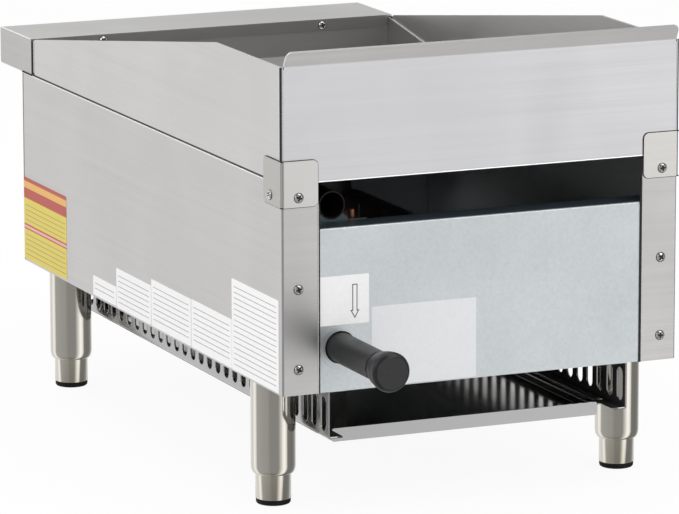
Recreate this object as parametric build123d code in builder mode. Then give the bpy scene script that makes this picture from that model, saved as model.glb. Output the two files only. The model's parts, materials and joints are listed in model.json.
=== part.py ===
"""Countertop gas griddle with a sheet steel body, cooking plate, grease trough and drawer, U burner,
slotted base rails, bottom pan, adjustable legs and a capped rear gas inlet."""
import math
import os

from build123d import *

# Overall sizes in millimetres, with +Z up, the operator at -Y and the gas inlet at +Y
body_width = 381
panel_depth = 649
body_height = 186.5
leg_height = 113
ledge_overhang = 61
inlet_reach = 110
splash_height = 102

# Clearances
seat_gap = 0.3
running_gap = 0.05
thread_gap = 0.1

# Side panels, rear panel and control panel
panel_sheet = 1.2
bend_radius = 2
post_width = 34.5
front_flange_width = 18
plate_flange_width = 15
flue_gap_height = 41.3
rear_panel_margin = 8.5
flue_flange_width = 28
control_foot_width = 15

# Splashes, lip and corner brackets
splash_sheet = 2.5
splash_front_height = 35.5
splash_gap = 7.5
splash_lift = 1.5
knee_setback = 151
splash_corner = 3
lip_length = 15
lip_angle = 27
lip_inset = 2.5
lip_corner = 7
lip_relief = 1.5
bracket_sheet = 1.2
bracket_height = 40.5
bracket_side_leg = 38
bracket_back_leg = 33.7
bracket_corner = 5

# Ledge, trough and cooking plate
ledge_sheet = 1.5
ledge_height = 35
ledge_depth = 87
ledge_flange_height = 11.7
ledge_return_width = 12
ledge_flange_corner = 5
trough_sheet = 1.5
trough_opening = 100
trough_depth = 56.5
trough_bend = 8
trough_top_gap = 2
plate_thickness = 19
plate_bevel = 3
drain_radius = 16
drain_wall = 1.5
drain_drop = 11.5
drain_flange_width = 5

# Side liners and front bulkhead
liner_sheet = 1
liner_gap = 5.3
bulkhead_sheet = 1.2
draught_sill = 25
draught_height = 76
draught_bottom_inset = 79.5
draught_top_inset = 92.5
pipe_hole_gap = 4.5
line_hole_radius = 8

# Base rails and bottom pan
rail_sheet = 1.5
rail_inset = 45.5
rail_height = 43
rail_top_width = 30
rail_foot_width = 13.5
rail_lap = 15
rail_end_gap = 5
slot_width = 12
slot_height = 30.5
slot_pitch = 20.4
slot_corner = 3.5
slot_top_margin = 7
slot_end_margin = 11
pan_sheet = 1.2
pan_gap = 2
pan_lip_inset = 2
pan_side_height = 10.3
pan_end_height = 12
pan_rear_setback = 33
pan_front_setback = 19

# Burner, its saddles and air shutter
burner_inset = 102.5
burner_height = 58
burner_radius = 19
burner_wall = 1.5
burner_front_setback = 162
burner_rear_setback = 180
port_pitch = 22
port_length = 14
port_width = 1.5
port_depth = 3.5
port_end_margin = 20
mixer_head_radius = 22
mixer_head_length = 26
mixer_cone_length = 28
mixer_throat_radius = 15
mixer_flare_length = 42
mixer_neck_length = 6
window_length = 14
window_height = 20
shutter_sheet = 1.2
shutter_length = 24
shutter_hole_radius = 9.5
saddle_sheet = 1.5
saddle_width = 20
saddle_overlap = 13
saddle_ear_width = 44
saddle_ear_drop = 6
saddle_setback = 37

# Gas train, from the inlet cap to the orifice and the knob
pipe_radius = 13.35
pipe_bore_radius = 10.45
pipe_inset = 55.5
pipe_height = 39
pipe_length = 127
thread_radius = 12.9
thread_length = 19
outer_thread_length = 23
thread_show = 5.2
cap_radius = 17.5
cap_length = 22
cap_flare = 8
cap_mouth_wall = 1.4
cap_end_wall = 4
cap_corner = 4
coupling_radius = 17
coupling_length = 42.5
elbow_radius = 15
elbow_leg = 30
elbow_socket = 14
nipple_radius = 10.65
nipple_bore_radius = 7.9
bonnet_radius = 11
bonnet_length = 12
valve_depth = 33
valve_width = 28
valve_rise = 16
valve_drop = 29
valve_corner = 3
valve_boss_length = 4
outlet_radius = 9
hood_flats = 14
hood_hex_length = 10
hood_cone_length = 10
hood_tip_radius = 2.5
orifice_radius = 0.8
stem_radius = 4
stem_bore_depth = 24
stem_flat = 2.6
stem_hole_radius = 6
knob_gap = 3
knob_depth = 27
knob_skirt_radius = 24
knob_skirt_height = 5
knob_grip_radius = 19.5
knob_front_wall = 6
knob_flutes = 10
flute_radius = 4
knob_round = 2

# Pilot group in the flue gap
pilot_inset = 59.5
pilot_rise = 14.3
pilot_radius = 12.5
pilot_wall = 1.2
pilot_length = 60
pilot_sheet = 1.2
pilot_plate_right = 19
pilot_plate_left = 33
pilot_plate_top = 7.5
pilot_plate_drop = 37.5
pilot_step = 6
pilot_shelf_depth = 13
pilot_line_radius = 3
pilot_line_offset = 22
pilot_line_top_drop = 6.5
line_lane = 20.7
pilot_line_rise = 14
fitting_radius = 4.5
fitting_length = 14
probe_radius = 1
probe_offset = 29
probe_top_drop = 2.5
probe_line_rise = 8
line_drop = 12
line_shift = 30
line_bend = 6

# Grease drawer, handle and guides
drawer_width = 136
drawer_height = 80
drawer_depth = 110
drawer_sheet = 1.2
drawer_corner = 6
drawer_rim = 7
drawer_rim_end_gap = 4
drawer_face_margin = 6
drawer_face_rise = 7.5
drawer_face_drop = 3.5
guide_sheet = 1.2
guide_drop = 17
guide_side_gap = 1
guide_weld_width = 10
guide_inner_gap = 2
handle_radius = 4
handle_width = 96
handle_reach = 25
handle_bend = 10
handle_sides = 12

# Legs
leg_side_inset = 21.5
leg_rear_inset = 72.5
leg_front_inset = 69
sleeve_radius = 20
sleeve_shoulder = 9
neck_radius = 17.5
exposed_foot = 23
foot_radius = 15.85
foot_engagement = 45
pad_height = 5
pad_radius = 15.5
stud_radius = 8
stud_sides = 12
stud_length = 16
nut_flats = 24
nut_height = 10

# Screws, rivets and bolts
screw_head_radius = 4.1
screw_head_height = 2.4
head_sides = 8
head_taper = 25
shank_sides = 6
line_sides = 6
screw_shank_radius = 2
screw_tail = 1.5
screw_column = 15.5
post_screw_heights = (22.6, 93.6)
bracket_screw_drop = 12
bracket_side_screw = 23.4
control_screw_inset = 9.5
control_screw_margin = 15
ledge_screw_inset = 75
ledge_screw_drop = 6
rivet_head_radius = 3
rivet_head_height = 1.4
rivet_shank_radius = 1.6
rivet_end_margin = 10
rivet_rows = 4
bolt_head_radius = 5
bolt_head_height = 3
bolt_shank_radius = 2.5
bolt_end_margin = 25
bolt_rows = 3

# Planes of the body that the pieces share
half_width = body_width / 2
back_y = (panel_depth + ledge_overhang - inlet_reach) / 2
front_y = back_y - panel_depth
body_z = leg_height
seam_z = body_z + body_height
fold_z = seam_z + splash_height
panel_front_y = front_y + panel_sheet
panel_inner_x = half_width - panel_sheet
rear_panel_y = back_y - panel_sheet
rear_panel_inner_y = rear_panel_y - panel_sheet
rear_panel_top_z = seam_z - flue_gap_height
floor_z = body_z + panel_sheet
roof_z = seam_z - panel_sheet

ledge_front_y = front_y - ledge_overhang
ledge_rear_y = ledge_front_y + ledge_depth
ledge_top_z = seam_z + ledge_height
splash_inner_x = half_width - splash_sheet
splash_inner_y = back_y - splash_sheet
plate_front_y = ledge_rear_y + trough_opening
trough_front_y = ledge_rear_y - ledge_sheet - trough_sheet
trough_bottom_z = seam_z - trough_depth
bulkhead_rear_y = plate_front_y + bulkhead_sheet

rail_x = half_width - rail_inset
rail_bottom_z = body_z - rail_height
rail_front_y = front_y + rail_end_gap
rail_rear_y = back_y - rail_end_gap
rail_foot_x = rail_x - rail_foot_width

burner_x = half_width - burner_inset
burner_z = body_z + burner_height
burner_front_y = front_y + burner_front_setback
burner_bend_y = back_y - burner_rear_setback
mixer_length = mixer_head_length + mixer_cone_length + mixer_flare_length + mixer_neck_length
mixer_front_y = burner_front_y - mixer_length
mixer_head_y = mixer_front_y + mixer_head_length

pipe_x = half_width - pipe_inset
pipe_z = body_z + pipe_height
cap_end_y = back_y + inlet_reach
pipe_rear_y = cap_end_y - cap_end_wall - seat_gap
pipe_front_y = pipe_rear_y - pipe_length
coupling_rear_y = pipe_front_y + thread_length - thread_show
coupling_front_y = coupling_rear_y - coupling_length
valve_front_y = panel_front_y + bonnet_length
valve_rear_y = valve_front_y + valve_depth
valve_bottom_z = burner_z - valve_drop
valve_right_x = burner_x + valve_width / 2
elbow_y = (valve_front_y + valve_rear_y) / 2
outlet_y = valve_rear_y + valve_boss_length

shelf_y = rear_panel_y - flue_flange_width
pilot_x = half_width - pilot_inset
pilot_z = rear_panel_top_z + pilot_rise
pilot_plate_y = shelf_y - pilot_sheet
pilot_shelf_z = pilot_z - pilot_plate_drop
pilot_shelf_y = pilot_plate_y - pilot_shelf_depth / 2
fitting_x = pilot_x - pilot_line_offset
probe_x = pilot_x - probe_offset
line_lane_x = pipe_x - line_lane
pilot_line_z = body_z + pilot_line_rise
probe_line_z = body_z + probe_line_rise

drawer_centre = -burner_x
drawer_rim_z = trough_bottom_z - guide_drop + seat_gap + drawer_sheet
drawer_front_y = front_y - seat_gap
drawer_face_y = drawer_front_y - drawer_sheet
drawer_half = drawer_width / 2
rim_half = drawer_half + drawer_rim
opening_half = rim_half + guide_side_gap + guide_sheet
drawer_mid_z = drawer_rim_z - drawer_height / 2

leg_x = half_width - leg_side_inset
leg_rear_y = back_y - leg_rear_inset
leg_front_y = front_y + leg_front_inset
sleeve_bottom_z = pad_height + exposed_foot
leg_spots = {
    "front_right": (leg_x, leg_front_y),
    "front_left": (-leg_x, leg_front_y),
    "rear_right": (leg_x, leg_rear_y),
    "rear_left": (-leg_x, leg_rear_y),
}


def facing(direction, points):
    """Planes at the points, each with its normal along the direction."""
    return [Plane(origin=point, z_dir=direction) for point in points]


def folded(points, thickness, radius):
    """Section of a folded sheet that lies to the left of the line through the points."""
    with BuildSketch() as section:
        with BuildLine():
            FilletPolyline(*points, radius=radius)
            offset(amount=thickness, side=Side.LEFT)
        make_face()
    return section.sketch


def headed(head_radius, head_height, shank_radius, shank_length, hexagonal=False):
    """A fastener of few faces whose head stands on its origin plane, with its shank below it."""
    with BuildPart() as fastener:
        with BuildSketch():
            if hexagonal:
                RegularPolygon(radius=head_radius, side_count=6, major_radius=False)
            else:
                RegularPolygon(radius=head_radius, side_count=head_sides)
        extrude(amount=head_height, taper=0 if hexagonal else head_taper)
        with BuildSketch():
            RegularPolygon(radius=shank_radius, side_count=shank_sides)
        extrude(amount=-shank_length)
    return fastener.part


def drills(places, radius, depth, sides=shank_sides):
    """Cutters for small holes of few faces, down from each place."""
    with BuildPart() as cutters:
        with BuildSketch(*places):
            RegularPolygon(radius=radius, side_count=sides)
        extrude(amount=-depth)
    return cutters.part


def tube_run(points, radius, bend, sides=0):
    """A line through the points with equal bends, round or of a number of sides."""
    with BuildPart() as run:
        with BuildLine() as route:
            FilletPolyline(*points, radius=bend)
        with BuildSketch(Plane(origin=route.line @ 0, z_dir=route.line % 0)):
            if sides:
                RegularPolygon(radius=radius, side_count=sides)
            else:
                Circle(radius)
        sweep(path=route.wire())
    return run.part


def spread(first, last, count):
    """Evenly spaced values from first to last."""
    return [first + (last - first) * step / (count - 1) for step in range(count)]


# Places of the screws, rivets and bolts
screw_x = half_width - screw_column
post_screws_at = facing((0, 1, 0), [
    (side * screw_x, back_y, body_z + height) for side in (1, -1) for height in post_screw_heights])
bracket_screw_z = seam_z - bracket_screw_drop
bracket_back_screws_at = facing((0, 1, 0), [
    (side * screw_x, back_y + bracket_sheet, bracket_screw_z) for side in (1, -1)])
bracket_right_screws_at = facing((1, 0, 0), [
    (half_width + bracket_sheet, back_y - bracket_side_screw, bracket_screw_z)])
bracket_left_screws_at = facing((-1, 0, 0), [
    (-half_width - bracket_sheet, back_y - bracket_side_screw, bracket_screw_z)])
control_screws_at = facing((0, -1, 0), [
    (side * (half_width - control_screw_inset), front_y, height)
    for side in (1, -1)
    for height in (body_z + control_screw_margin, seam_z - control_screw_margin)])
ledge_screws_at = facing((0, 1, 0), [
    (side * (half_width - ledge_screw_inset), ledge_rear_y, ledge_top_z - ledge_screw_drop) for side in (1, -1)])
post_shank = 2 * panel_sheet + screw_tail
bracket_shank = bracket_sheet + panel_sheet + screw_tail
control_shank = 2 * panel_sheet + screw_tail
ledge_shank = ledge_sheet + trough_sheet + screw_tail
screw_hole_radius = screw_shank_radius + thread_gap

pan_front_y = front_y + pan_front_setback
pan_rear_y = back_y - pan_rear_setback
rivet_x = (rail_foot_x + rail_x - rail_sheet) / 2
rivets_at = facing((0, 0, 1), [
    (side * rivet_x, y, rail_bottom_z + rail_sheet)
    for side in (1, -1)
    for y in spread(pan_front_y + rivet_end_margin, pan_rear_y - rivet_end_margin, rivet_rows)])
rivet_grip = rail_sheet + pan_sheet
bolt_x = rail_x - rail_lap / 2
bolts_at = facing((0, 0, 1), [
    (side * bolt_x, y, floor_z)
    for side in (1, -1)
    for y in spread(rail_front_y + bolt_end_margin, rail_rear_y - bolt_end_margin, bolt_rows)])
bolt_grip = panel_sheet + rail_sheet

# Side panels, each one sheet with a rear post, a front flange, a foot flange and a plate flange
with BuildPart() as side_panel_right:
    with BuildSketch(Plane.XY.offset(body_z)):
        add(folded([
            (half_width - front_flange_width, panel_front_y),
            (half_width, panel_front_y),
            (half_width, back_y),
            (half_width - post_width, back_y)], panel_sheet, bend_radius))
    extrude(amount=body_height)
    with BuildSketch(Plane.XY.offset(body_z)):
        with Locations((panel_inner_x, panel_front_y)):
            Rectangle(panel_inner_x - rail_x + rail_lap, rear_panel_inner_y - panel_front_y,
                      align=(Align.MAX, Align.MIN))
    extrude(amount=panel_sheet)
    with BuildSketch(Plane.XY.offset(roof_z)):
        with Locations((panel_inner_x, plate_front_y)):
            Rectangle(plate_flange_width - panel_sheet, rear_panel_y - plate_front_y,
                      align=(Align.MAX, Align.MIN))
    extrude(amount=panel_sheet)
    studs_at = facing((0, 0, 1), [(leg_x, leg_front_y, floor_z), (leg_x, leg_rear_y, floor_z)])
    add(drills(studs_at, stud_radius + thread_gap, panel_sheet, stud_sides), mode=Mode.SUBTRACT)
    add(drills(post_screws_at[:2], screw_hole_radius, post_shank), mode=Mode.SUBTRACT)
    bracket_right_at = [bracket_back_screws_at[0], bracket_right_screws_at[0]]
    add(drills(bracket_right_at, screw_hole_radius, bracket_shank), mode=Mode.SUBTRACT)
    add(drills(control_screws_at[:2], screw_hole_radius, control_shank), mode=Mode.SUBTRACT)
    add(drills(bolts_at[:bolt_rows], bolt_shank_radius + thread_gap, panel_sheet), mode=Mode.SUBTRACT)
side_panel_right.part.label = "side_panel_right"

with BuildPart() as side_panel_left:
    mirror(side_panel_right.part, about=Plane.YZ)
side_panel_left.part.label = "side_panel_left"

# Rear panel behind the posts, folded in at the foot of the flue gap
rear_panel_half = half_width - rear_panel_margin
with BuildPart() as rear_panel:
    with BuildSketch(Plane.YZ):
        add(folded([
            (rear_panel_y, body_z),
            (rear_panel_y, rear_panel_top_z),
            (shelf_y, rear_panel_top_z)], panel_sheet, bend_radius))
    extrude(amount=rear_panel_half, both=True)
    with Locations(*facing((0, 1, 0), [(pipe_x, rear_panel_y, pipe_z)])):
        Hole(pipe_radius + pipe_hole_gap, depth=panel_sheet)
    add(drills(post_screws_at, screw_hole_radius, post_shank), mode=Mode.SUBTRACT)
rear_panel.part.label = "rear_panel"

# Control panel over the front flanges, with the drawer opening and the stem hole
with BuildPart() as control_panel:
    with BuildSketch(Plane.XZ.offset(-panel_front_y)):
        with Locations((0, body_z)):
            Rectangle(body_width, body_height, align=(Align.CENTER, Align.MIN))
    extrude(amount=panel_sheet)
    with BuildSketch(Plane.YZ):
        with Locations((front_y, body_z)):
            Rectangle(control_foot_width, panel_sheet, align=(Align.MIN, Align.MIN))
        with Locations((front_y, seam_z)):
            Rectangle(trough_front_y - front_y, panel_sheet, align=(Align.MIN, Align.MAX))
    extrude(amount=rail_x - rail_lap - seat_gap, both=True)
    with BuildSketch(Plane.XZ.offset(-panel_front_y)):
        with Locations((drawer_centre, drawer_rim_z + seat_gap + guide_side_gap)):
            Rectangle(2 * opening_half, drawer_height + 2 * guide_side_gap, align=(Align.CENTER, Align.MAX))
        with Locations((burner_x, burner_z)):
            Circle(stem_hole_radius)
    extrude(amount=panel_sheet, mode=Mode.SUBTRACT)
    add(drills(control_screws_at, screw_hole_radius, control_shank), mode=Mode.SUBTRACT)
control_panel.part.label = "control_panel"

# Front ledge, a channel open below, with closed ends and a rear flange that hooks over the trough
with BuildPart() as front_ledge:
    with BuildSketch(Plane.YZ):
        add(folded([
            (ledge_rear_y, ledge_top_z),
            (ledge_front_y, ledge_top_z),
            (ledge_front_y, seam_z),
            (ledge_front_y + ledge_return_width, seam_z)], ledge_sheet, bend_radius))
    extrude(amount=half_width, both=True)
    with BuildSketch(Plane.YZ.offset(half_width)) as ledge_end:
        with Locations((ledge_front_y, seam_z)):
            Rectangle(ledge_depth, ledge_height, align=(Align.MIN, Align.MIN))
        fillet(ledge_end.vertices().group_by(Axis.X)[0], radius=bend_radius)
    extrude(amount=-ledge_sheet)
    mirror(about=Plane.YZ)
    with BuildSketch(Plane.XZ.offset(-ledge_rear_y)) as ledge_flange:
        with Locations((0, ledge_top_z)):
            Rectangle(2 * (splash_inner_x - trough_sheet - seat_gap), ledge_flange_height,
                      align=(Align.CENTER, Align.MAX))
        fillet(ledge_flange.vertices().group_by(Axis.Y)[0], radius=ledge_flange_corner)
    extrude(amount=ledge_sheet)
    add(drills(ledge_screws_at, screw_hole_radius, ledge_shank), mode=Mode.SUBTRACT)
front_ledge.part.label = "front_ledge"

# Grease trough between the plate and the ledge, with its drain hole over the drawer
with BuildPart() as grease_trough:
    trough_front_top_z = ledge_top_z - ledge_sheet - seat_gap
    trough_rear_top_z = seam_z + plate_thickness - trough_top_gap
    with BuildSketch(Plane.YZ):
        add(folded([
            (trough_front_y, trough_front_top_z),
            (trough_front_y, trough_bottom_z),
            (plate_front_y, trough_bottom_z),
            (plate_front_y, trough_rear_top_z)], trough_sheet, trough_bend))
    extrude(amount=splash_inner_x, both=True)
    with BuildSketch(Plane.YZ.offset(splash_inner_x)) as trough_end:
        with BuildLine():
            Polyline(
                (trough_front_y, trough_front_top_z),
                (trough_front_y, trough_bottom_z),
                (plate_front_y, trough_bottom_z),
                (plate_front_y, trough_rear_top_z),
                close=True)
        make_face()
        fillet(trough_end.vertices().group_by(Axis.Y)[0], radius=trough_bend)
    extrude(amount=-trough_sheet)
    mirror(about=Plane.YZ)
    trough_mid_y = (trough_front_y + plate_front_y) / 2
    with Locations(*facing((0, 0, 1), [(drawer_centre, trough_mid_y, trough_bottom_z + trough_sheet)])):
        Hole(drain_radius + thread_gap, depth=trough_sheet)
    add(drills(ledge_screws_at, screw_hole_radius, ledge_shank), mode=Mode.SUBTRACT)
grease_trough.part.label = "grease_trough"

with BuildPart() as grease_chute:
    with BuildSketch(Plane.XY.offset(trough_bottom_z - drain_drop)):
        with Locations((drawer_centre, trough_mid_y)):
            Circle(drain_radius)
    extrude(amount=drain_drop + trough_sheet)
    with BuildSketch(Plane.XY.offset(trough_bottom_z - drain_wall)):
        with Locations((drawer_centre, trough_mid_y)):
            Circle(drain_radius + drain_flange_width)
    extrude(amount=drain_wall)
    with Locations(*facing((0, 0, 1), [(drawer_centre, trough_mid_y, trough_bottom_z + trough_sheet)])):
        Hole(drain_radius - drain_wall, depth=drain_drop + trough_sheet)
grease_chute.part.label = "grease_chute"

# Thick cooking plate on the plate flanges, bevelled where it sheds grease into the trough
with BuildPart() as griddle_plate:
    with BuildSketch(Plane.XY.offset(seam_z)):
        with Locations((0, plate_front_y)):
            Rectangle(2 * splash_inner_x, splash_inner_y - plate_front_y, align=(Align.CENTER, Align.MIN))
    extrude(amount=plate_thickness)
    chamfer(griddle_plate.edges().filter_by(Axis.X).group_by(Axis.Z)[-1].sort_by(Axis.Y)[0],
            length=plate_bevel)
griddle_plate.part.label = "griddle_plate"

# Side splashes with a sloped front, and the back splash with its leaning lip
with BuildPart() as side_splash_right:
    with BuildSketch(Plane.YZ.offset(splash_inner_x)) as splash_outline:
        with BuildLine():
            Polyline(
                (ledge_rear_y + splash_gap, seam_z + splash_lift),
                (splash_inner_y, seam_z + splash_lift),
                (splash_inner_y, fold_z),
                (back_y - knee_setback, fold_z),
                (ledge_rear_y + splash_gap, seam_z + splash_front_height),
                close=True)
        make_face()
        fillet(splash_outline.vertices().group_by(Axis.X)[0], radius=splash_corner)
    extrude(amount=splash_sheet)
side_splash_right.part.label = "side_splash_right"

with BuildPart() as side_splash_left:
    mirror(side_splash_right.part, about=Plane.YZ)
side_splash_left.part.label = "side_splash_left"

with BuildPart() as back_splash:
    lip_lean = lip_length * math.sin(math.radians(lip_angle))
    lip_rise = lip_length * math.cos(math.radians(lip_angle))
    with BuildSketch(Plane.YZ):
        add(folded([
            (back_y, seam_z),
            (back_y, fold_z),
            (back_y + lip_lean, fold_z + lip_rise)], splash_sheet, splash_sheet + bend_radius))
    extrude(amount=half_width, both=True)
    with BuildSketch(Plane.XZ.offset(-splash_inner_y + splash_sheet)) as back_outline:
        with Locations((0, seam_z)):
            Rectangle(body_width, splash_height - lip_relief, align=(Align.CENTER, Align.MIN))
        with Locations((0, seam_z)):
            Rectangle(body_width - 2 * lip_inset, splash_height + lip_length,
                      align=(Align.CENTER, Align.MIN))
        fillet(back_outline.vertices().group_by(Axis.Y)[-1], radius=lip_corner)
    extrude(amount=-lip_lean - 3 * splash_sheet, mode=Mode.INTERSECT)
    back_corners = back_splash.edges().filter_by(Axis.Z).group_by(SortBy.LENGTH)[-1]
    fillet(back_corners.group_by(Axis.Y)[-1], radius=bend_radius)
back_splash.part.label = "back_splash"

# Corner brackets that tie the splashes to the panels at the rear
with BuildPart() as corner_bracket_right:
    with BuildSketch(Plane.XY.offset(seam_z - bracket_height / 2)):
        add(folded([
            (half_width + bracket_sheet, back_y - bracket_side_leg),
            (half_width + bracket_sheet, back_y + bracket_sheet),
            (half_width - bracket_back_leg, back_y + bracket_sheet)],
            bracket_sheet, bend_radius + bracket_sheet))
    extrude(amount=bracket_height)
    free_corners = corner_bracket_right.edges().filter_by(
        lambda edge: edge.geom_type == GeomType.LINE and abs(edge.length - bracket_sheet) < 0.01)
    fillet(free_corners, radius=bracket_corner)
    add(drills(bracket_right_at, screw_hole_radius, bracket_shank), mode=Mode.SUBTRACT)
corner_bracket_right.part.label = "corner_bracket_right"

with BuildPart() as corner_bracket_left:
    mirror(corner_bracket_right.part, about=Plane.YZ)
corner_bracket_left.part.label = "corner_bracket_left"

# Side liners that keep the burner heat off the panels
with BuildPart() as side_liner_right:
    liner_x = panel_inner_x - liner_gap
    with BuildSketch(Plane.XY.offset(floor_z)):
        add(folded([
            (panel_inner_x, rear_panel_inner_y),
            (liner_x, rear_panel_inner_y),
            (liner_x, bulkhead_rear_y),
            (panel_inner_x, bulkhead_rear_y)], liner_sheet, bend_radius))
    extrude(amount=roof_z - floor_z)
side_liner_right.part.label = "side_liner_right"

with BuildPart() as side_liner_left:
    mirror(side_liner_right.part, about=Plane.YZ)
side_liner_left.part.label = "side_liner_left"

# Front bulkhead under the plate, with the draught opening and the pipe and line holes
with BuildPart() as front_bulkhead:
    with BuildSketch(Plane.XZ.offset(-bulkhead_rear_y)):
        with Locations((0, floor_z)):
            Rectangle(2 * panel_inner_x, roof_z - floor_z, align=(Align.CENTER, Align.MIN))
        sill_z = body_z + draught_sill
        with BuildLine():
            Polyline(
                (draught_bottom_inset - half_width, sill_z),
                (half_width - draught_bottom_inset, sill_z),
                (half_width - draught_top_inset, sill_z + draught_height),
                (draught_top_inset - half_width, sill_z + draught_height),
                close=True)
        make_face(mode=Mode.SUBTRACT)
        with Locations((pipe_x, pipe_z)):
            Circle(nipple_radius + pipe_hole_gap, mode=Mode.SUBTRACT)
        with Locations((line_lane_x, (pilot_line_z + probe_line_z) / 2)):
            Circle(line_hole_radius, mode=Mode.SUBTRACT)
    extrude(amount=bulkhead_sheet)
front_bulkhead.part.label = "front_bulkhead"

# Slotted base rails, C sections open inwards under the panels
with BuildPart() as base_rail_right:
    with BuildSketch(Plane.XZ.offset(-rail_rear_y)):
        add(folded([
            (rail_foot_x, rail_bottom_z),
            (rail_x, rail_bottom_z),
            (rail_x, body_z),
            (rail_x - rail_top_width, body_z)], rail_sheet, bend_radius))
    extrude(amount=rail_rear_y - rail_front_y)
    slot_run = rail_rear_y - rail_front_y - 2 * slot_end_margin
    slot_count = int(slot_run // slot_pitch) + 1
    with BuildSketch(Plane.YZ.offset(rail_x)) as slots:
        with Locations(*[
                (rail_rear_y - slot_end_margin - step * slot_pitch,
                 body_z - slot_top_margin - slot_height / 2)
                for step in range(slot_count)]):
            Rectangle(slot_width, slot_height)
        chamfer(slots.vertices(), length=slot_corner)
    extrude(amount=-rail_sheet, mode=Mode.SUBTRACT)
    add(drills(bolts_at[:bolt_rows], bolt_shank_radius + thread_gap, bolt_grip), mode=Mode.SUBTRACT)
    add(drills(rivets_at[:rivet_rows], rivet_shank_radius + thread_gap, rail_sheet), mode=Mode.SUBTRACT)
base_rail_right.part.label = "base_rail_right"

with BuildPart() as base_rail_left:
    mirror(base_rail_right.part, about=Plane.YZ)
base_rail_left.part.label = "base_rail_left"

# Bottom pan, a shallow tray whose side lips are riveted under the rails
with BuildPart() as bottom_pan:
    pan_half = rail_foot_x - pan_gap
    pan_lip_x = rail_x - pan_lip_inset
    pan_bottom_z = rail_bottom_z - pan_side_height
    with BuildSketch(Plane.XZ.offset(-pan_rear_y)):
        add(folded([
            (-pan_lip_x, rail_bottom_z - pan_sheet),
            (-pan_half, rail_bottom_z - pan_sheet),
            (-pan_half, pan_bottom_z),
            (pan_half, pan_bottom_z),
            (pan_half, rail_bottom_z - pan_sheet),
            (pan_lip_x, rail_bottom_z - pan_sheet)], pan_sheet, bend_radius))
    extrude(amount=pan_rear_y - pan_front_y)
    with BuildSketch(Plane.XZ.offset(-pan_rear_y), Plane.XZ.offset(-pan_front_y - pan_sheet)) as pan_ends:
        with Locations((0, pan_bottom_z)):
            Rectangle(2 * pan_half, pan_end_height, align=(Align.CENTER, Align.MIN))
        fillet(pan_ends.vertices().group_by(Axis.Z)[0], radius=bend_radius)
    extrude(amount=pan_sheet)
    add(drills(rivets_at, rivet_shank_radius + thread_gap, rivet_grip), mode=Mode.SUBTRACT)
bottom_pan.part.label = "bottom_pan"

# U-shaped tube burner with sawn ports, a closed end and a venturi mixer
with BuildPart() as burner:
    with BuildLine(Plane.XY.offset(burner_z)) as burner_path:
        Line((burner_x, burner_front_y), (burner_x, burner_bend_y))
        ThreePointArc(
            (burner_x, burner_bend_y), (0, burner_bend_y + burner_x), (-burner_x, burner_bend_y))
        Line((-burner_x, burner_bend_y), (-burner_x, burner_front_y))
    with BuildSketch(Plane(origin=(burner_x, burner_front_y, burner_z), z_dir=(0, 1, 0))):
        Circle(burner_radius)
        Circle(burner_radius - burner_wall, mode=Mode.SUBTRACT)
    sweep(path=burner_path.wire())
    with BuildSketch(Plane(origin=(-burner_x, burner_front_y, burner_z), z_dir=(0, 1, 0))):
        Circle(burner_radius)
    extrude(amount=burner_wall)
    with BuildSketch(Plane.XY.offset(burner_z)):
        with BuildLine():
            Polyline(
                (burner_x + mixer_head_radius, mixer_front_y),
                (burner_x + mixer_head_radius, mixer_head_y),
                (burner_x + mixer_throat_radius, mixer_head_y + mixer_cone_length),
                (burner_x + burner_radius, burner_front_y - mixer_neck_length),
                (burner_x + burner_radius, burner_front_y))
            offset(amount=burner_wall, side=Side.LEFT)
        make_face()
    revolve(axis=Axis((burner_x, 0, burner_z), (0, 1, 0)))
    with Locations((burner_x, mixer_front_y + mixer_head_length / 2, burner_z)):
        Box(2 * mixer_head_radius, window_length, window_height, mode=Mode.SUBTRACT)
    port_first_y = burner_front_y + port_end_margin
    port_count = int((burner_bend_y - port_first_y) // port_pitch) + 1
    with Locations(*[
            (side * burner_x, port_first_y + step * port_pitch, burner_z + burner_radius)
            for side in (1, -1)
            for step in range(port_count)]):
        Box(port_length, port_width, 2 * port_depth, mode=Mode.SUBTRACT)
burner.part.label = "burner"

with BuildPart() as air_shutter:
    shutter_radius = mixer_head_radius + seat_gap + shutter_sheet
    shutter_y = mixer_front_y - seat_gap - shutter_sheet
    with BuildSketch(Plane(origin=(burner_x, shutter_y, burner_z), z_dir=(0, 1, 0))):
        Circle(shutter_radius)
    extrude(amount=shutter_length)
    with BuildSketch(Plane(origin=(burner_x, shutter_y + shutter_sheet, burner_z), z_dir=(0, 1, 0))):
        Circle(shutter_radius - shutter_sheet)
    extrude(amount=shutter_length, mode=Mode.SUBTRACT)
    with Locations(*facing((0, -1, 0), [(burner_x, shutter_y, burner_z)])):
        Hole(shutter_hole_radius, depth=shutter_sheet)
    with Locations((burner_x, mixer_front_y + mixer_head_length / 2, burner_z)):
        Box(2 * shutter_radius, window_length, window_height, mode=Mode.SUBTRACT)
air_shutter.part.label = "air_shutter"

# Saddles on the rails that cradle both burner legs
with BuildPart() as burner_saddles:
    saddle_half = rail_x - rail_top_width + saddle_overlap
    ear_height = burner_height - saddle_ear_drop
    for saddle_y in (burner_front_y + saddle_setback, burner_bend_y - saddle_width):
        with BuildSketch(Plane.XY.offset(body_z)):
            with Locations((0, saddle_y)):
                Rectangle(2 * saddle_half, saddle_width)
        extrude(amount=saddle_sheet)
        with BuildSketch(Plane.XZ.offset(-saddle_y)):
            with Locations((burner_x, body_z), (-burner_x, body_z)):
                Rectangle(saddle_ear_width, ear_height, align=(Align.CENTER, Align.MIN))
            with Locations((burner_x, burner_z), (-burner_x, burner_z)):
                Circle(burner_radius + seat_gap, mode=Mode.SUBTRACT)
        extrude(amount=saddle_sheet)
burner_saddles.part.label = "burner_saddles"

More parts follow.
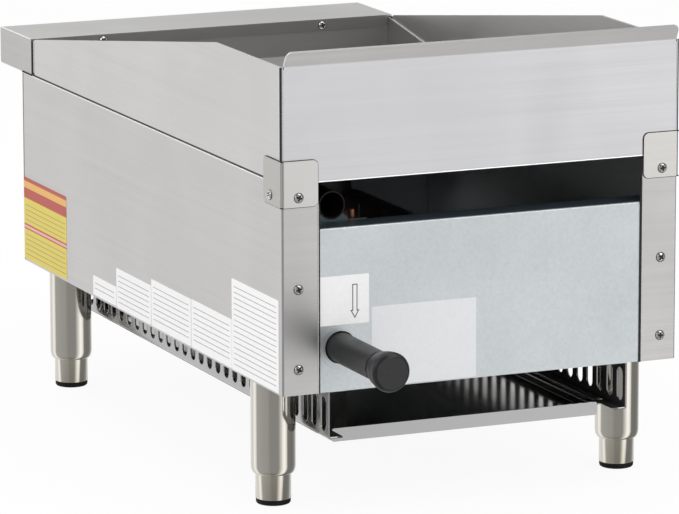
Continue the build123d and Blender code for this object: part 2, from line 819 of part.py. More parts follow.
# Gas train: threaded inlet pipe and cap, coupling, supply pipe, elbow, nipple, valve and orifice hood
with BuildPart() as inlet_pipe:
    with BuildSketch(Plane(origin=(pipe_x, pipe_front_y, pipe_z), z_dir=(0, 1, 0))):
        Circle(thread_radius)
    extrude(amount=pipe_length)
    with BuildSketch(Plane(origin=(pipe_x, pipe_front_y + thread_length, pipe_z), z_dir=(0, 1, 0))):
        Circle(pipe_radius)
    extrude(amount=pipe_length - thread_length - outer_thread_length)
    with Locations(*facing((0, 1, 0), [(pipe_x, pipe_rear_y, pipe_z)])):
        Hole(pipe_bore_radius, depth=pipe_length)
inlet_pipe.part.label = "inlet_pipe"

with BuildPart() as inlet_cap:
    cap_front_y = cap_end_y - cap_length
    cap_bore_radius = pipe_radius + seat_gap
    with BuildSketch(Plane.XY.offset(pipe_z)):
        with BuildLine():
            Polyline(
                (pipe_x + cap_bore_radius, cap_front_y),
                (pipe_x + cap_bore_radius + cap_mouth_wall, cap_front_y),
                (pipe_x + cap_radius, cap_front_y + cap_flare),
                (pipe_x + cap_radius, cap_end_y - cap_corner),
                (pipe_x + cap_radius - cap_corner, cap_end_y),
                (pipe_x, cap_end_y),
                (pipe_x, cap_end_y - cap_end_wall),
                (pipe_x + cap_bore_radius, cap_end_y - cap_end_wall),
                close=True)
        make_face()
    revolve(axis=Axis((pipe_x, 0, pipe_z), (0, 1, 0)))
inlet_cap.part.label = "inlet_cap"

with BuildPart() as pipe_coupling:
    with BuildSketch(Plane(origin=(pipe_x, coupling_front_y, pipe_z), z_dir=(0, 1, 0))):
        Circle(coupling_radius)
    extrude(amount=coupling_length)
    with Locations(*facing((0, 1, 0), [(pipe_x, coupling_rear_y, pipe_z)])):
        Hole(thread_radius + thread_gap, depth=coupling_rear_y - pipe_front_y + seat_gap)
    with Locations(*facing((0, -1, 0), [(pipe_x, coupling_front_y, pipe_z)])):
        Hole(nipple_radius + running_gap, depth=elbow_socket)
    with Locations(*facing((0, 1, 0), [(pipe_x, coupling_rear_y, pipe_z)])):
        Hole(nipple_bore_radius, depth=coupling_length)
pipe_coupling.part.label = "pipe_coupling"

with BuildPart() as supply_pipe:
    supply_front_y = elbow_y + elbow_leg - elbow_socket
    with BuildSketch(Plane(origin=(pipe_x, supply_front_y, pipe_z), z_dir=(0, 1, 0))):
        Circle(nipple_radius)
        Circle(nipple_bore_radius, mode=Mode.SUBTRACT)
    extrude(amount=coupling_front_y + elbow_socket - supply_front_y)
supply_pipe.part.label = "supply_pipe"

with BuildPart() as supply_elbow:
    with BuildLine() as elbow_path:
        Polyline(
            (pipe_x, elbow_y + elbow_leg, pipe_z),
            (pipe_x, elbow_y, pipe_z),
            (pipe_x - elbow_leg, elbow_y, pipe_z))
    with BuildSketch(Plane(origin=(pipe_x, elbow_y + elbow_leg, pipe_z), z_dir=(0, -1, 0))):
        Circle(elbow_radius)
    sweep(path=elbow_path.wire(), transition=Transition.RIGHT)
    with Locations(*facing((0, 1, 0), [(pipe_x, elbow_y + elbow_leg, pipe_z)])):
        Hole(nipple_radius + running_gap, depth=elbow_socket)
    with Locations(*facing((-1, 0, 0), [(pipe_x - elbow_leg, elbow_y, pipe_z)])):
        Hole(nipple_radius + running_gap, depth=elbow_socket)
supply_elbow.part.label = "supply_elbow"

with BuildPart() as supply_nipple:
    boss_x = valve_right_x + valve_boss_length
    with BuildSketch(Plane(origin=(boss_x, elbow_y, pipe_z), z_dir=(1, 0, 0))):
        Circle(nipple_radius)
    extrude(amount=pipe_x - elbow_leg + elbow_socket - boss_x)
supply_nipple.part.label = "supply_nipple"

with BuildPart() as gas_valve:
    with BuildSketch(Plane(origin=(burner_x, valve_rear_y, burner_z), z_dir=(0, -1, 0))) as valve_face:
        with Locations((0, (valve_rise - valve_drop) / 2)):
            Rectangle(valve_width, valve_rise + valve_drop)
        fillet(valve_face.vertices(), radius=valve_corner)
    extrude(amount=valve_depth)
    with BuildSketch(Plane(origin=(burner_x, valve_front_y, burner_z), z_dir=(0, -1, 0))):
        Circle(bonnet_radius)
    extrude(amount=bonnet_length)
    with BuildSketch(Plane(origin=(burner_x, valve_rear_y, burner_z), z_dir=(0, 1, 0))):
        Circle(outlet_radius)
    extrude(amount=valve_boss_length)
    with BuildSketch(Plane(origin=(valve_right_x - valve_corner, elbow_y, pipe_z), z_dir=(1, 0, 0))):
        Circle(nipple_radius)
    extrude(amount=valve_corner + valve_boss_length)
    with Locations(*facing((0, -1, 0), [(burner_x, panel_front_y, burner_z)])):
        Hole(stem_radius + running_gap, depth=stem_bore_depth)
gas_valve.part.label = "gas_valve"

with BuildPart() as orifice_hood:
    with BuildSketch(Plane(origin=(burner_x, outlet_y, burner_z), z_dir=(0, 1, 0))):
        RegularPolygon(radius=hood_flats / 2, side_count=6, major_radius=False)
    extrude(amount=hood_hex_length)
    with BuildSketch(Plane(origin=(burner_x, outlet_y + hood_hex_length, burner_z), z_dir=(0, 1, 0))):
        Circle(hood_flats / 2)
    with BuildSketch(Plane(origin=(burner_x, outlet_y + hood_hex_length + hood_cone_length, burner_z),
                           z_dir=(0, 1, 0))):
        Circle(hood_tip_radius)
    loft()
    with Locations(*facing((0, 1, 0), [
            (burner_x, outlet_y + hood_hex_length + hood_cone_length, burner_z)])):
        Hole(orifice_radius, depth=hood_hex_length + hood_cone_length)
orifice_hood.part.label = "orifice_hood"

# Valve stem with a flat, and the fluted knob on it
knob_back_y = front_y - knob_gap
stem_back_y = panel_front_y + stem_bore_depth - seat_gap
stem_front_y = knob_back_y - knob_depth + knob_front_wall + seat_gap
with BuildPart() as valve_stem:
    with BuildSketch(Plane(origin=(burner_x, stem_back_y, burner_z), z_dir=(0, -1, 0))):
        Circle(stem_radius)
    extrude(amount=stem_back_y - stem_front_y)
    with BuildSketch(Plane(origin=(burner_x, knob_back_y, burner_z), x_dir=(1, 0, 0), z_dir=(0, -1, 0))):
        with Locations((0, stem_flat)):
            Rectangle(2 * stem_radius, 2 * stem_radius, align=(Align.CENTER, Align.MIN))
    extrude(amount=knob_depth, mode=Mode.SUBTRACT)
valve_stem.part.label = "valve_stem"

with BuildPart() as knob:
    with BuildSketch(Plane(origin=(burner_x, knob_back_y, burner_z), z_dir=(0, -1, 0))):
        Circle(knob_skirt_radius)
    extrude(amount=knob_skirt_height)
    with BuildSketch(Plane(origin=(burner_x, knob_back_y, burner_z), z_dir=(0, -1, 0))):
        Circle(knob_grip_radius)
    extrude(amount=knob_depth)
    chamfer(knob.edges().sort_by(Axis.Y)[0], length=knob_round)
    with BuildSketch(Plane(origin=(burner_x, knob_back_y - knob_skirt_height, burner_z), z_dir=(0, -1, 0))):
        with PolarLocations(knob_grip_radius + flute_radius / 2, knob_flutes):
            Circle(flute_radius)
    extrude(amount=knob_depth, mode=Mode.SUBTRACT)
    with BuildSketch(Plane(origin=(burner_x, knob_back_y, burner_z), x_dir=(1, 0, 0), z_dir=(0, -1, 0))):
        Circle(stem_radius + running_gap)
        with Locations((0, stem_flat + running_gap)):
            Rectangle(3 * stem_radius, 3 * stem_radius, align=(Align.CENTER, Align.MIN), mode=Mode.SUBTRACT)
    extrude(amount=knob_depth - knob_front_wall, mode=Mode.SUBTRACT)
knob.part.label = "knob"

# Pilot group: notched bracket on the flue flange, tube, fitting, probe and their lines
with BuildPart() as pilot_bracket:
    with BuildSketch(Plane.XZ.offset(-shelf_y)):
        with BuildLine():
            plate_left_x = pilot_x - pilot_plate_left
            plate_right_x = pilot_x + pilot_plate_right
            plate_top_z = pilot_z - pilot_plate_top
            Polyline(
                (plate_left_x, pilot_shelf_z),
                (plate_right_x, pilot_shelf_z),
                (plate_right_x, plate_top_z),
                (pilot_x - pilot_radius + pilot_step / 2, plate_top_z),
                (fitting_x + pilot_step, plate_top_z - pilot_step),
                (plate_left_x, plate_top_z - pilot_step),
                close=True)
        make_face()
        with Locations((pilot_x, pilot_z)):
            Circle(pilot_radius + seat_gap, mode=Mode.SUBTRACT)
    extrude(amount=pilot_sheet)
    with BuildSketch(Plane.XY.offset(pilot_shelf_z)):
        with Locations((plate_left_x, pilot_plate_y)):
            Rectangle(pilot_x - pilot_radius - plate_left_x, pilot_shelf_depth,
                      align=(Align.MIN, Align.MAX))
        with Locations((fitting_x, pilot_shelf_y)):
            Circle(pilot_line_radius + thread_gap, mode=Mode.SUBTRACT)
        with Locations((probe_x, pilot_shelf_y)):
            Circle(probe_radius + thread_gap, mode=Mode.SUBTRACT)
    extrude(amount=pilot_sheet)
pilot_bracket.part.label = "pilot_bracket"

with BuildPart() as pilot_tube:
    with BuildSketch(Plane(origin=(pilot_x, shelf_y, pilot_z), z_dir=(0, -1, 0))):
        Circle(pilot_radius)
        Circle(pilot_radius - pilot_wall, mode=Mode.SUBTRACT)
    extrude(amount=pilot_length)
pilot_tube.part.label = "pilot_tube"

with BuildPart() as pilot_fitting:
    with BuildSketch(Plane.XY.offset(pilot_shelf_z - fitting_length)):
        with Locations((fitting_x, pilot_shelf_y)):
            RegularPolygon(radius=fitting_radius, side_count=6, major_radius=False)
    extrude(amount=fitting_length)
    with BuildSketch(Plane.XY.offset(pilot_shelf_z)):
        with Locations((fitting_x, pilot_shelf_y)):
            Circle(pilot_line_radius)
    extrude(amount=pilot_z - pilot_line_top_drop - pilot_shelf_z)
pilot_fitting.part.label = "pilot_fitting"

line_turn_z = pilot_shelf_z - fitting_length - line_drop
line_run_y = outlet_y + line_shift / 2
valve_line_x = burner_x + valve_width / 4
with BuildPart() as pilot_line:
    add(tube_run([
        (fitting_x, pilot_shelf_y, pilot_shelf_z - fitting_length),
        (fitting_x, pilot_shelf_y, line_turn_z),
        (line_lane_x, pilot_shelf_y, line_turn_z - line_shift),
        (line_lane_x, pilot_shelf_y, pilot_line_z),
        (line_lane_x, line_run_y, pilot_line_z),
        (valve_line_x, elbow_y, pilot_line_z),
        (valve_line_x, elbow_y, valve_bottom_z)], pilot_line_radius, line_bend, line_sides))
pilot_line.part.label = "pilot_line"

valve_probe_x = burner_x - valve_width / 4
with BuildPart() as thermocouple:
    add(tube_run([
        (probe_x, pilot_shelf_y, pilot_z - probe_top_drop),
        (probe_x, pilot_shelf_y, probe_line_z),
        (line_lane_x, pilot_shelf_y - line_shift, probe_line_z),
        (line_lane_x, line_run_y, probe_line_z),
        (valve_probe_x, elbow_y, probe_line_z),
        (valve_probe_x, elbow_y, valve_bottom_z)], probe_radius, line_bend, line_sides))
thermocouple.part.label = "thermocouple"

# Grease drawer with side rims that ride on the guides under the trough
with BuildPart() as grease_drawer:
    with BuildSketch(Plane.XY.offset(drawer_rim_z - drawer_height)):
        with Locations((drawer_centre, drawer_front_y)):
            Rectangle(drawer_width, drawer_depth, align=(Align.CENTER, Align.MIN))
    extrude(amount=drawer_height)
    rear_uprights = grease_drawer.edges().filter_by(Axis.Z).group_by(Axis.Y)[-1]
    fillet(rear_uprights, radius=drawer_corner)
    offset(amount=-drawer_sheet, openings=grease_drawer.faces().sort_by(Axis.Z)[-1])
    with BuildSketch(Plane.XY.offset(drawer_rim_z - drawer_sheet)):
        with Locations((drawer_centre, drawer_front_y + drawer_rim_end_gap)):
            Rectangle(2 * rim_half, drawer_depth - drawer_rim_end_gap - drawer_corner,
                      align=(Align.CENTER, Align.MIN))
            Rectangle(drawer_width - 2 * drawer_sheet, drawer_depth, align=(Align.CENTER, Align.MIN),
                      mode=Mode.SUBTRACT)
    extrude(amount=drawer_sheet)
    with BuildSketch(Plane.XZ.offset(-drawer_front_y)) as drawer_face:
        with Locations((drawer_centre, drawer_rim_z + drawer_face_rise)):
            Rectangle(2 * (opening_half + drawer_face_margin),
                      drawer_height + drawer_face_rise + drawer_face_drop,
                      align=(Align.CENTER, Align.MAX))
        fillet(drawer_face.vertices(), radius=drawer_corner)
    extrude(amount=drawer_sheet)
grease_drawer.part.label = "grease_drawer"

with BuildPart() as drawer_handle:
    add(tube_run([
        (drawer_centre - handle_width / 2, drawer_face_y, drawer_mid_z),
        (drawer_centre - handle_width / 2, drawer_face_y - handle_reach, drawer_mid_z),
        (drawer_centre + handle_width / 2, drawer_face_y - handle_reach, drawer_mid_z),
        (drawer_centre + handle_width / 2, drawer_face_y, drawer_mid_z)], handle_radius, handle_bend, handle_sides))
drawer_handle.part.label = "drawer_handle"

with BuildPart() as drawer_guides:
    guide_web_x = rim_half + guide_side_gap
    with BuildSketch(Plane.XZ.offset(-trough_front_y - trough_opening)):
        with Locations((drawer_centre, 0)):
            add(folded([
                (guide_web_x + guide_weld_width, trough_bottom_z),
                (guide_web_x, trough_bottom_z),
                (guide_web_x, trough_bottom_z - guide_drop),
                (drawer_half + guide_inner_gap, trough_bottom_z - guide_drop)], guide_sheet, bend_radius))
    extrude(amount=trough_front_y + trough_opening - panel_front_y - panel_sheet)
    mirror(about=Plane.YZ.offset(drawer_centre))
drawer_guides.part.label = "drawer_guides"

# Fasteners
with BuildPart() as post_screws:
    with Locations(*post_screws_at):
        add(headed(screw_head_radius, screw_head_height, screw_shank_radius, post_shank))
post_screws.part.label = "post_screws"

with BuildPart() as bracket_screws:
    with Locations(*bracket_back_screws_at, *bracket_right_screws_at, *bracket_left_screws_at):
        add(headed(screw_head_radius, screw_head_height, screw_shank_radius, bracket_shank))
bracket_screws.part.label = "bracket_screws"

with BuildPart() as control_panel_screws:
    with Locations(*control_screws_at):
        add(headed(screw_head_radius, screw_head_height, screw_shank_radius, control_shank))
control_panel_screws.part.label = "control_panel_screws"

with BuildPart() as ledge_screws:
    with Locations(*ledge_screws_at):
        add(headed(screw_head_radius, screw_head_height, screw_shank_radius, ledge_shank))
ledge_screws.part.label = "ledge_screws"

with BuildPart() as pan_rivets:
    with Locations(*rivets_at):
        add(headed(rivet_head_radius, rivet_head_height, rivet_shank_radius, rivet_grip))
    with Locations(*facing((0, 0, -1), [
            (place.origin.X, place.origin.Y, rail_bottom_z - pan_sheet) for place in rivets_at])):
        add(headed(rivet_head_radius, rivet_head_height, rivet_shank_radius, rivet_grip))
pan_rivets.part.label = "pan_rivets"

with BuildPart() as rail_bolts:
    with Locations(*bolts_at):
        add(headed(bolt_head_radius, bolt_head_height, bolt_shank_radius, bolt_grip, hexagonal=True))
    with Locations(*facing((0, 0, -1), [
            (place.origin.X, place.origin.Y, body_z - rail_sheet) for place in bolts_at])):
        add(headed(bolt_head_radius, bolt_head_height, bolt_shank_radius, bolt_grip, hexagonal=True))
rail_bolts.part.label = "rail_bolts"

with BuildPart() as leg_nuts:
    with BuildSketch(Plane.XY.offset(floor_z)):
        with Locations(*leg_spots.values()):
            RegularPolygon(radius=nut_flats / 2, side_count=6, major_radius=False)
            RegularPolygon(radius=stud_radius + thread_gap, side_count=stud_sides, mode=Mode.SUBTRACT)
    extrude(amount=nut_height)
leg_nuts.part.label = "leg_nuts"

pieces = [
    side_panel_right, side_panel_left, rear_panel, control_panel, front_ledge, grease_trough,
    grease_chute, griddle_plate, side_splash_right, side_splash_left, back_splash,
    corner_bracket_right, corner_bracket_left, side_liner_right, side_liner_left, front_bulkhead,
    base_rail_right, base_rail_left, bottom_pan, burner, air_shutter, burner_saddles, inlet_pipe,
    inlet_cap, pipe_coupling, supply_pipe, supply_elbow, supply_nipple, gas_valve, orifice_hood,
    valve_stem, knob, pilot_bracket,
    pilot_tube, pilot_fitting, pilot_line, thermocouple, grease_drawer, drawer_handle, drawer_guides,
    post_screws, bracket_screws, control_panel_screws, ledge_screws, pan_rivets, rail_bolts, leg_nuts]

# Legs: a hollow sleeve with a stud, a foot that screws out of it and a rubber pad
for corner, (x, y) in leg_spots.items():
    with BuildPart() as leg_sleeve:
        with BuildSketch(Plane.XY.offset(body_z)):
            with Locations((x, y)):
                Circle(sleeve_radius)
        extrude(amount=sleeve_bottom_z + sleeve_shoulder - body_z)
        with BuildSketch(Plane.XY.offset(sleeve_bottom_z + sleeve_shoulder)):
            with Locations((x, y)):
                Circle(sleeve_radius)
        with BuildSketch(Plane.XY.offset(sleeve_bottom_z)):
            with Locations((x, y)):
                Circle(neck_radius)
        loft()
        with BuildSketch(Plane.XY.offset(body_z)):
            with Locations((x, y)):
                RegularPolygon(radius=stud_radius, side_count=stud_sides)
        extrude(amount=stud_length)
        with BuildSketch(Plane.XY.offset(sleeve_bottom_z)):
            with Locations((x, y)):
                Circle(foot_radius + thread_gap)
        extrude(amount=foot_engagement + seat_gap, mode=Mode.SUBTRACT)
    leg_sleeve.part.label = f"leg_{corner}"

    with BuildPart() as foot:
        with BuildSketch(Plane.XY.offset(pad_height)):
            with Locations((x, y)):
                Circle(foot_radius)
        extrude(amount=exposed_foot + foot_engagement)
    foot.part.label = f"foot_{corner}"

    with BuildPart() as foot_pad:
        with BuildSketch():
            with Locations((x, y)):
                Circle(pad_radius)
        extrude(amount=pad_height)
    foot_pad.part.label = f"foot_pad_{corner}"
    pieces += [leg_sleeve, foot, foot_pad]

os.makedirs("parts", exist_ok=True)
for piece in pieces:
    export_step(piece.part, f"parts/{piece.part.label}.step")
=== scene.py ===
"""A countertop gas griddle: its finishes, its fine fittings, and a plain studio."""
import json
from math import pi, radians

import bpy
import bmesh
import numpy as np
from bpy.props import FloatProperty, FloatVectorProperty, IntProperty, PointerProperty
from bpy.types import Operator, Panel, PropertyGroup
from mathutils import Matrix, Vector


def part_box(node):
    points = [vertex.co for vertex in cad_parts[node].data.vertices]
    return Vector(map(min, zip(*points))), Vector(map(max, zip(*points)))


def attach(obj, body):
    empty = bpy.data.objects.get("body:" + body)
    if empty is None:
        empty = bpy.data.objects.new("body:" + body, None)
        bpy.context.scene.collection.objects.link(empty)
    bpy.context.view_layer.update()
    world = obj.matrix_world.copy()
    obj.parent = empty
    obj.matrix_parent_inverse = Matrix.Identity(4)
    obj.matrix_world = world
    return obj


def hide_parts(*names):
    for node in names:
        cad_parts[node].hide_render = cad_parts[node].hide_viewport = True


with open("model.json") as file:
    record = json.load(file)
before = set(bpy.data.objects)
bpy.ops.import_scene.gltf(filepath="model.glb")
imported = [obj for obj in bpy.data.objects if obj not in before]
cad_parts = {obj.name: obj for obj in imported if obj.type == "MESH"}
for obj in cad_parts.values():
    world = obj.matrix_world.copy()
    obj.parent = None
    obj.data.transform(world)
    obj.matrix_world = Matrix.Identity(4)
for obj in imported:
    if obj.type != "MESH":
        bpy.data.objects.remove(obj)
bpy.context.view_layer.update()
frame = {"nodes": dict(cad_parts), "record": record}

bl_info = {
    "name": "Countertop Griddle",
    "version": (1, 0, 0),
    "blender": (4, 5, 0),
    "location": "View3D > Sidebar > Griddle",
    "description": "Finishes, fine fittings and a studio for a countertop gas griddle",
    "category": "Object",
}

UP = Vector((0, 0, 1))
CORNERS = ("front_right", "front_left", "rear_right", "rear_left")
MERGE_DISTANCE = 1e-6


# Settings

def colour(name, value, description):
    """A colour setting."""
    return FloatVectorProperty(name=name, description=description, default=value,
                               subtype="COLOR", size=3, min=0, max=1)


def length(name, value, description):
    """A length setting, in metres."""
    return FloatProperty(name=name, description=description, default=value, unit="LENGTH",
                         min=0, precision=4)


class GriddleFinishes(PropertyGroup):
    """Colours of the griddle's materials."""
    steel: colour("Stainless sheet", (0.54, 0.532, 0.528), "Brushed stainless steel sheet")
    splash_steel: colour("Side splash sheet", (0.585, 0.58, 0.57), "Heavier sheet of the side splashes")
    back_steel: colour("Back splash sheet", (0.635, 0.635, 0.655), "Heavier sheet of the back splash")
    # Painted shade: the brackets' side flanges take a darker copy of the stainless sheet, as their
    # shaded side.
    bracket_side_painted_shade: colour("Bracket sheet", (0.465, 0.46, 0.44), "Side flanges of the corner brackets")
    leg_steel: colour("Leg metal", (0.60, 0.575, 0.52), "Warm nickel finish of the legs and feet")
    zinc: colour("Galvanised sheet", (0.62, 0.655, 0.675), "Galvanised sheet of the rear panel")
    # Painted shade: the rear panel's inner face is darkened to stand in for the shade inside the body.
    rear_inner_painted_shade: colour("Flue stain", (0.16, 0.21, 0.26), "Heat-darkened inner face of the rear panel")
    sooted_zinc: colour("Sooted zinc", (0.10, 0.13, 0.14), "Galvanised bracket of the pilot")
    rail_steel: colour("Rail sheet", (0.42, 0.42, 0.42), "Smooth sheet of the slotted rails")
    # Painted shade: the rails' inner faces are near black, as the shade under the body.
    rail_painted_shade: colour("Rail inside", (0.03, 0.03, 0.03), "Dull inner face of the slotted rails")
    # Painted light: the pan's rear face takes a lighter copy of the pan's sheet, as its lit face.
    pan_rim_painted_light: colour("Pan rim", (0.37, 0.37, 0.375), "Rear face of the bottom pan")
    # Painted light: the brackets' rear flanges take a lighter copy of the same sheet, as their lit side.
    bracket_rear_painted_light: colour("Bracket flange", (0.625, 0.61, 0.585), "Rear flanges of the corner brackets")
    ledge_steel: colour("Ledge sheet", (0.475, 0.468, 0.462), "Sheet of the front ledge")
    # Painted highlight: a near-white copy of the steel for thin rods along the bends, standing in for
    # the light they catch.
    bright_edge: colour("Bright bend", (0.93, 0.93, 0.92), "Polished bends and sheared edges")
    # Painted shade: a near-black colour for the rods and fills in seams, screw recesses and round screw
    # heads and brackets.
    raw_edge: colour("Dark seam", (0.02, 0.02, 0.02), "Seams and raw edges in shadow")
    # Smooth pan sheet, its colour darkened as painted shade of the cavity under the body.
    pan_painted_shade_steel: colour("Pan sheet", (0.26, 0.257, 0.252), "Smooth sheet of the bottom pan")
    dark_steel: colour("Plate steel", (0.16, 0.155, 0.15), "Polished and oiled cooking plate")
    burner_steel: colour("Burner steel", (0.22, 0.19, 0.165), "Heat-stained burner tube")
    burner_stain: colour("Burner stain", (0.16, 0.11, 0.09), "Brown clouds on the burner tube")
    sooted: colour("Sooted steel", (0.02, 0.018, 0.016), "Pilot tube darkened by its flame")
    soot_brown: colour("Soot", (0.03, 0.02, 0.016), "Brown clouds on the pilot tube")
    screw_zinc: colour("Screw zinc", (0.66, 0.66, 0.65), "Bright zinc of the fasteners")
    pipe_black: colour("Black pipe", (0.020, 0.021, 0.021), "Black iron pipe")
    cap_black: colour("Black plastic", (0.015, 0.015, 0.017), "Moulded inlet cap")
    knob_black: colour("Knob plastic", (0.018, 0.018, 0.019), "Moulded control knob")
    rubber: colour("Rubber", (0.006, 0.006, 0.006), "Foot pads")
    brass: colour("Brass", (0.62, 0.42, 0.17), "Valve and orifice fittings")
    copper: colour("Copper", (0.66, 0.30, 0.16), "Pilot fitting and gas lines")
    copper_stain: colour("Copper stain", (0.30, 0.14, 0.09), "Brown clouds on the copper")
    paper: colour("Label paper", (0.90, 0.90, 0.90), "White paper labels")
    grey_paper: colour("Grey paper", (0.76, 0.77, 0.78), "Film label on the rear panel")
    label_yellow: colour("Label yellow", (0.74, 0.60, 0.10), "Ground of the two-tone label")
    label_red: colour("Label red", (0.48, 0.085, 0.065), "Bands of the two-tone label")
    label_amber: colour("Label amber", (0.80, 0.46, 0.13), "Light band of the two-tone label")
    label_pink: colour("Label pink", (0.80, 0.45, 0.42), "Pale core of the narrow band")
    label_ink: colour("Label ink", (0.03, 0.03, 0.035), "Printed arrow and ticks")
    label_grey: colour("Label rules", (0.16, 0.16, 0.17), "Blank ruled lines")


class GriddleFittings(PropertyGroup):
    """Sizes of the pieces that are worked out here."""
    rail_wall: length("Rail thickness", 0.0015, "Thickness of the slotted rails' sheet")
    screw_radius: length("Screw head radius", 0.0041, "Radius of the pan heads")
    screw_height: length("Screw head height", 0.0024, "Height of the pan heads")
    rivet_radius: length("Rivet head radius", 0.003, "Radius of the pan rivets")
    rivet_height: length("Rivet head height", 0.0014, "Height of the pan rivets")
    sleeve_wall: length("Sleeve shoulder", 0.0025, "Step between the leg sleeve and its neck")
    label_thickness: length("Label thickness", 0.00018, "Thickness of the paper labels")
    # Painted highlight: the bend rods carry the near-white colour.
    edge_radius: length("Bend highlight radius", 0.0005, "Radius of the polished bends")
    # Painted shade: the seam rods and the rods round the brackets' edges are near black.
    seam_radius: length("Seam radius", 0.00095, "Half width of the dark seams")
    outline_radius: length("Cut edge radius", 0.00055, "Half width of the brackets' cut edges")
    hole_gap: length("Pipe collar gap", 0.0012, "Gap between the inlet pipe and its collar")
    turned_sides: IntProperty(name="Turned sides", default=96, min=16, max=256,
                              description="Facets round each turned piece")


class GriddleStudio(PropertyGroup):
    """Camera and light."""
    azimuth: FloatProperty(name="Camera azimuth", default=radians(156.576), subtype="ANGLE",
                           description="Direction that the camera stands in")
    elevation: FloatProperty(name="Camera elevation", default=radians(11.579), subtype="ANGLE",
                             description="Height of the camera above the horizon")
    roll: FloatProperty(name="Camera roll", default=radians(0.084), subtype="ANGLE",
                        description="Turn of the picture")
    distance: length("Camera distance", 4.8095, "From the aim point to the camera")
    focal: FloatProperty(name="Focal length", default=276.74, min=10, max=1000,
                         description="Lens in millimetres for a 36 mm sensor")
    aim: FloatVectorProperty(name="Aim point", default=(0.02268, 0.03767, 0.1738), size=3,
                             subtype="XYZ", unit="LENGTH", description="Centre of the picture")
    key_power: FloatProperty(name="Key light", default=24.0, min=0, description="Power in watts")
    fill_power: FloatProperty(name="Fill light", default=14.0, min=0, description="Power in watts")
    top_power: FloatProperty(name="Top light", default=16.0, min=0, description="Power in watts")
    rim_power: FloatProperty(name="Rim light", default=12.0, min=0, description="Power in watts")
    sky: FloatProperty(name="Sky", default=0.80, min=0, max=2, description="Even light of the room")


# Surfaces

def mesh_object(name, points, faces, material, smooth=40):
    """A named object from an array of points and an array of quads, doubles merged, smooth but for
    edges sharper than the angle in degrees."""
    mesh = bpy.data.meshes.new(name)
    mesh.from_pydata(points.tolist(), [], faces.tolist())
    shell = bmesh.new()
    shell.from_mesh(mesh)
    bmesh.ops.remove_doubles(shell, verts=shell.verts, dist=MERGE_DISTANCE)
    shell.to_mesh(mesh)
    shell.free()
    mesh.shade_smooth()
    mesh.set_sharp_from_angle(angle=radians(smooth))
    mesh.materials.append(material)
    piece = bpy.data.objects.new(name, mesh)
    bpy.context.scene.collection.objects.link(piece)
    return piece


def grid_faces(copies, rows, columns, wrap=True):
    """Quads between neighbours of a stack of grids numbered copy by copy and row by row; wrap joins
    the last column to the first."""
    index = np.arange(copies * rows * columns).reshape(copies, rows, columns)
    if wrap:
        index = np.concatenate([index, index[:, :, :1]], axis=2)
    quads = [index[:, :-1, :-1], index[:, :-1, 1:], index[:, 1:, 1:], index[:, 1:, :-1]]
    return np.stack(quads, axis=-1).reshape(-1, 4)


def grid_object(name, stack, material, smooth=40):
    """One object from a stack of grids of points whose last column meets the first."""
    return mesh_object(name, stack.reshape(-1, 3), grid_faces(*stack.shape[:3]), material, smooth)


def turned(origins, axis, along, radius, sides):
    """Stack of turned surfaces: origin + axis * along + radius * (side * cos t + other * sin t), for t
    once round the axis. along and radius have a row for each place of the profile, and one column or
    one for each t."""
    axis = Vector(axis).normalized()
    side = axis.orthogonal().normalized()
    if abs(axis.z) > 0.9:
        side = Vector((1, 0, 0))
    other = axis.cross(side)
    t = np.linspace(0, 2 * pi, sides, endpoint=False)
    ring = np.cos(t)[:, None] * np.array(side) + np.sin(t)[:, None] * np.array(other)
    along = np.atleast_2d(np.asarray(along, float))
    radius = np.atleast_2d(np.asarray(radius, float))
    along = along.T if along.shape[0] == 1 else along
    radius = radius.T if radius.shape[0] == 1 else radius
    shape = along[..., None] * np.array(axis) + radius[..., None] * ring
    return np.asarray(origins, float).reshape(-1, 1, 1, 3) + shape


def turned_piece(name, origins, axis, along, radius, material, sides, smooth=40):
    """One object of turned surfaces with the same profile at each origin."""
    return grid_object(name, turned(origins, axis, along, radius, sides), material, smooth)


def arc(centre, radius, first, last, count):
    """Points (along, out) of an arc: centre + radius * (sin a, cos a), for a from the first to the last
    angle in degrees."""
    a = np.radians(np.linspace(first, last, count))
    return np.stack([centre[0] + radius * np.sin(a), centre[1] + radius * np.cos(a)], axis=1)


def profile(*parts):
    """Joins points and arcs into the two arrays (along, out)."""
    rows = np.concatenate([np.asarray(part, float).reshape(-1, 2) for part in parts])
    return rows[:, 0], rows[:, 1]


def rods(name, runs, radius, material, sides=12):
    """Thin round edging: a circle carried along each straight run and a little past it, closed at both
    ends."""
    stacks = []
    for first, last in runs:
        first, last = Vector(first), Vector(last)
        over, span = 0.3 * radius, (last - first).length
        along, out = profile([(-over, 0), (-over, radius), (span + over, radius), (span + over, 0)])
        stacks.append(turned(first, last - first, along, out, sides))
    return grid_object(name, np.concatenate(stacks), material, smooth=50)


def mirrored(runs):
    """The runs and their mirror images across X."""
    flip = np.array((-1, 1, 1))
    return runs + [(np.array(first) * flip, np.array(last) * flip) for first, last in runs]


def slabs(name, outlines, axis, thickness, material):
    """Flat plates: each outline, a row of points, carried along the axis by the thickness and joined to
    its middle at both ends. An outline runs anticlockwise as seen from the far end of the axis."""
    outlines = np.asarray(outlines, float)
    middle = outlines.mean(axis=1, keepdims=True) + 0 * outlines
    lift = np.asarray(axis, float) * thickness
    stack = np.stack([middle, outlines, outlines + lift, middle + lift], axis=1)
    return grid_object(name, stack, material, smooth=30)


# Shader groups

def node(tree, kind, inputs=None, **settings):
    """A node with its settings, and a value or a link for each input by name or number."""
    made = tree.nodes.new("ShaderNode" + kind)
    for key, value in settings.items():
        setattr(made, key, value)
    for key, value in (inputs or {}).items():
        if isinstance(value, bpy.types.NodeSocket):
            tree.links.new(value, made.inputs[key])
        else:
            made.inputs[key].default_value = value
    return made


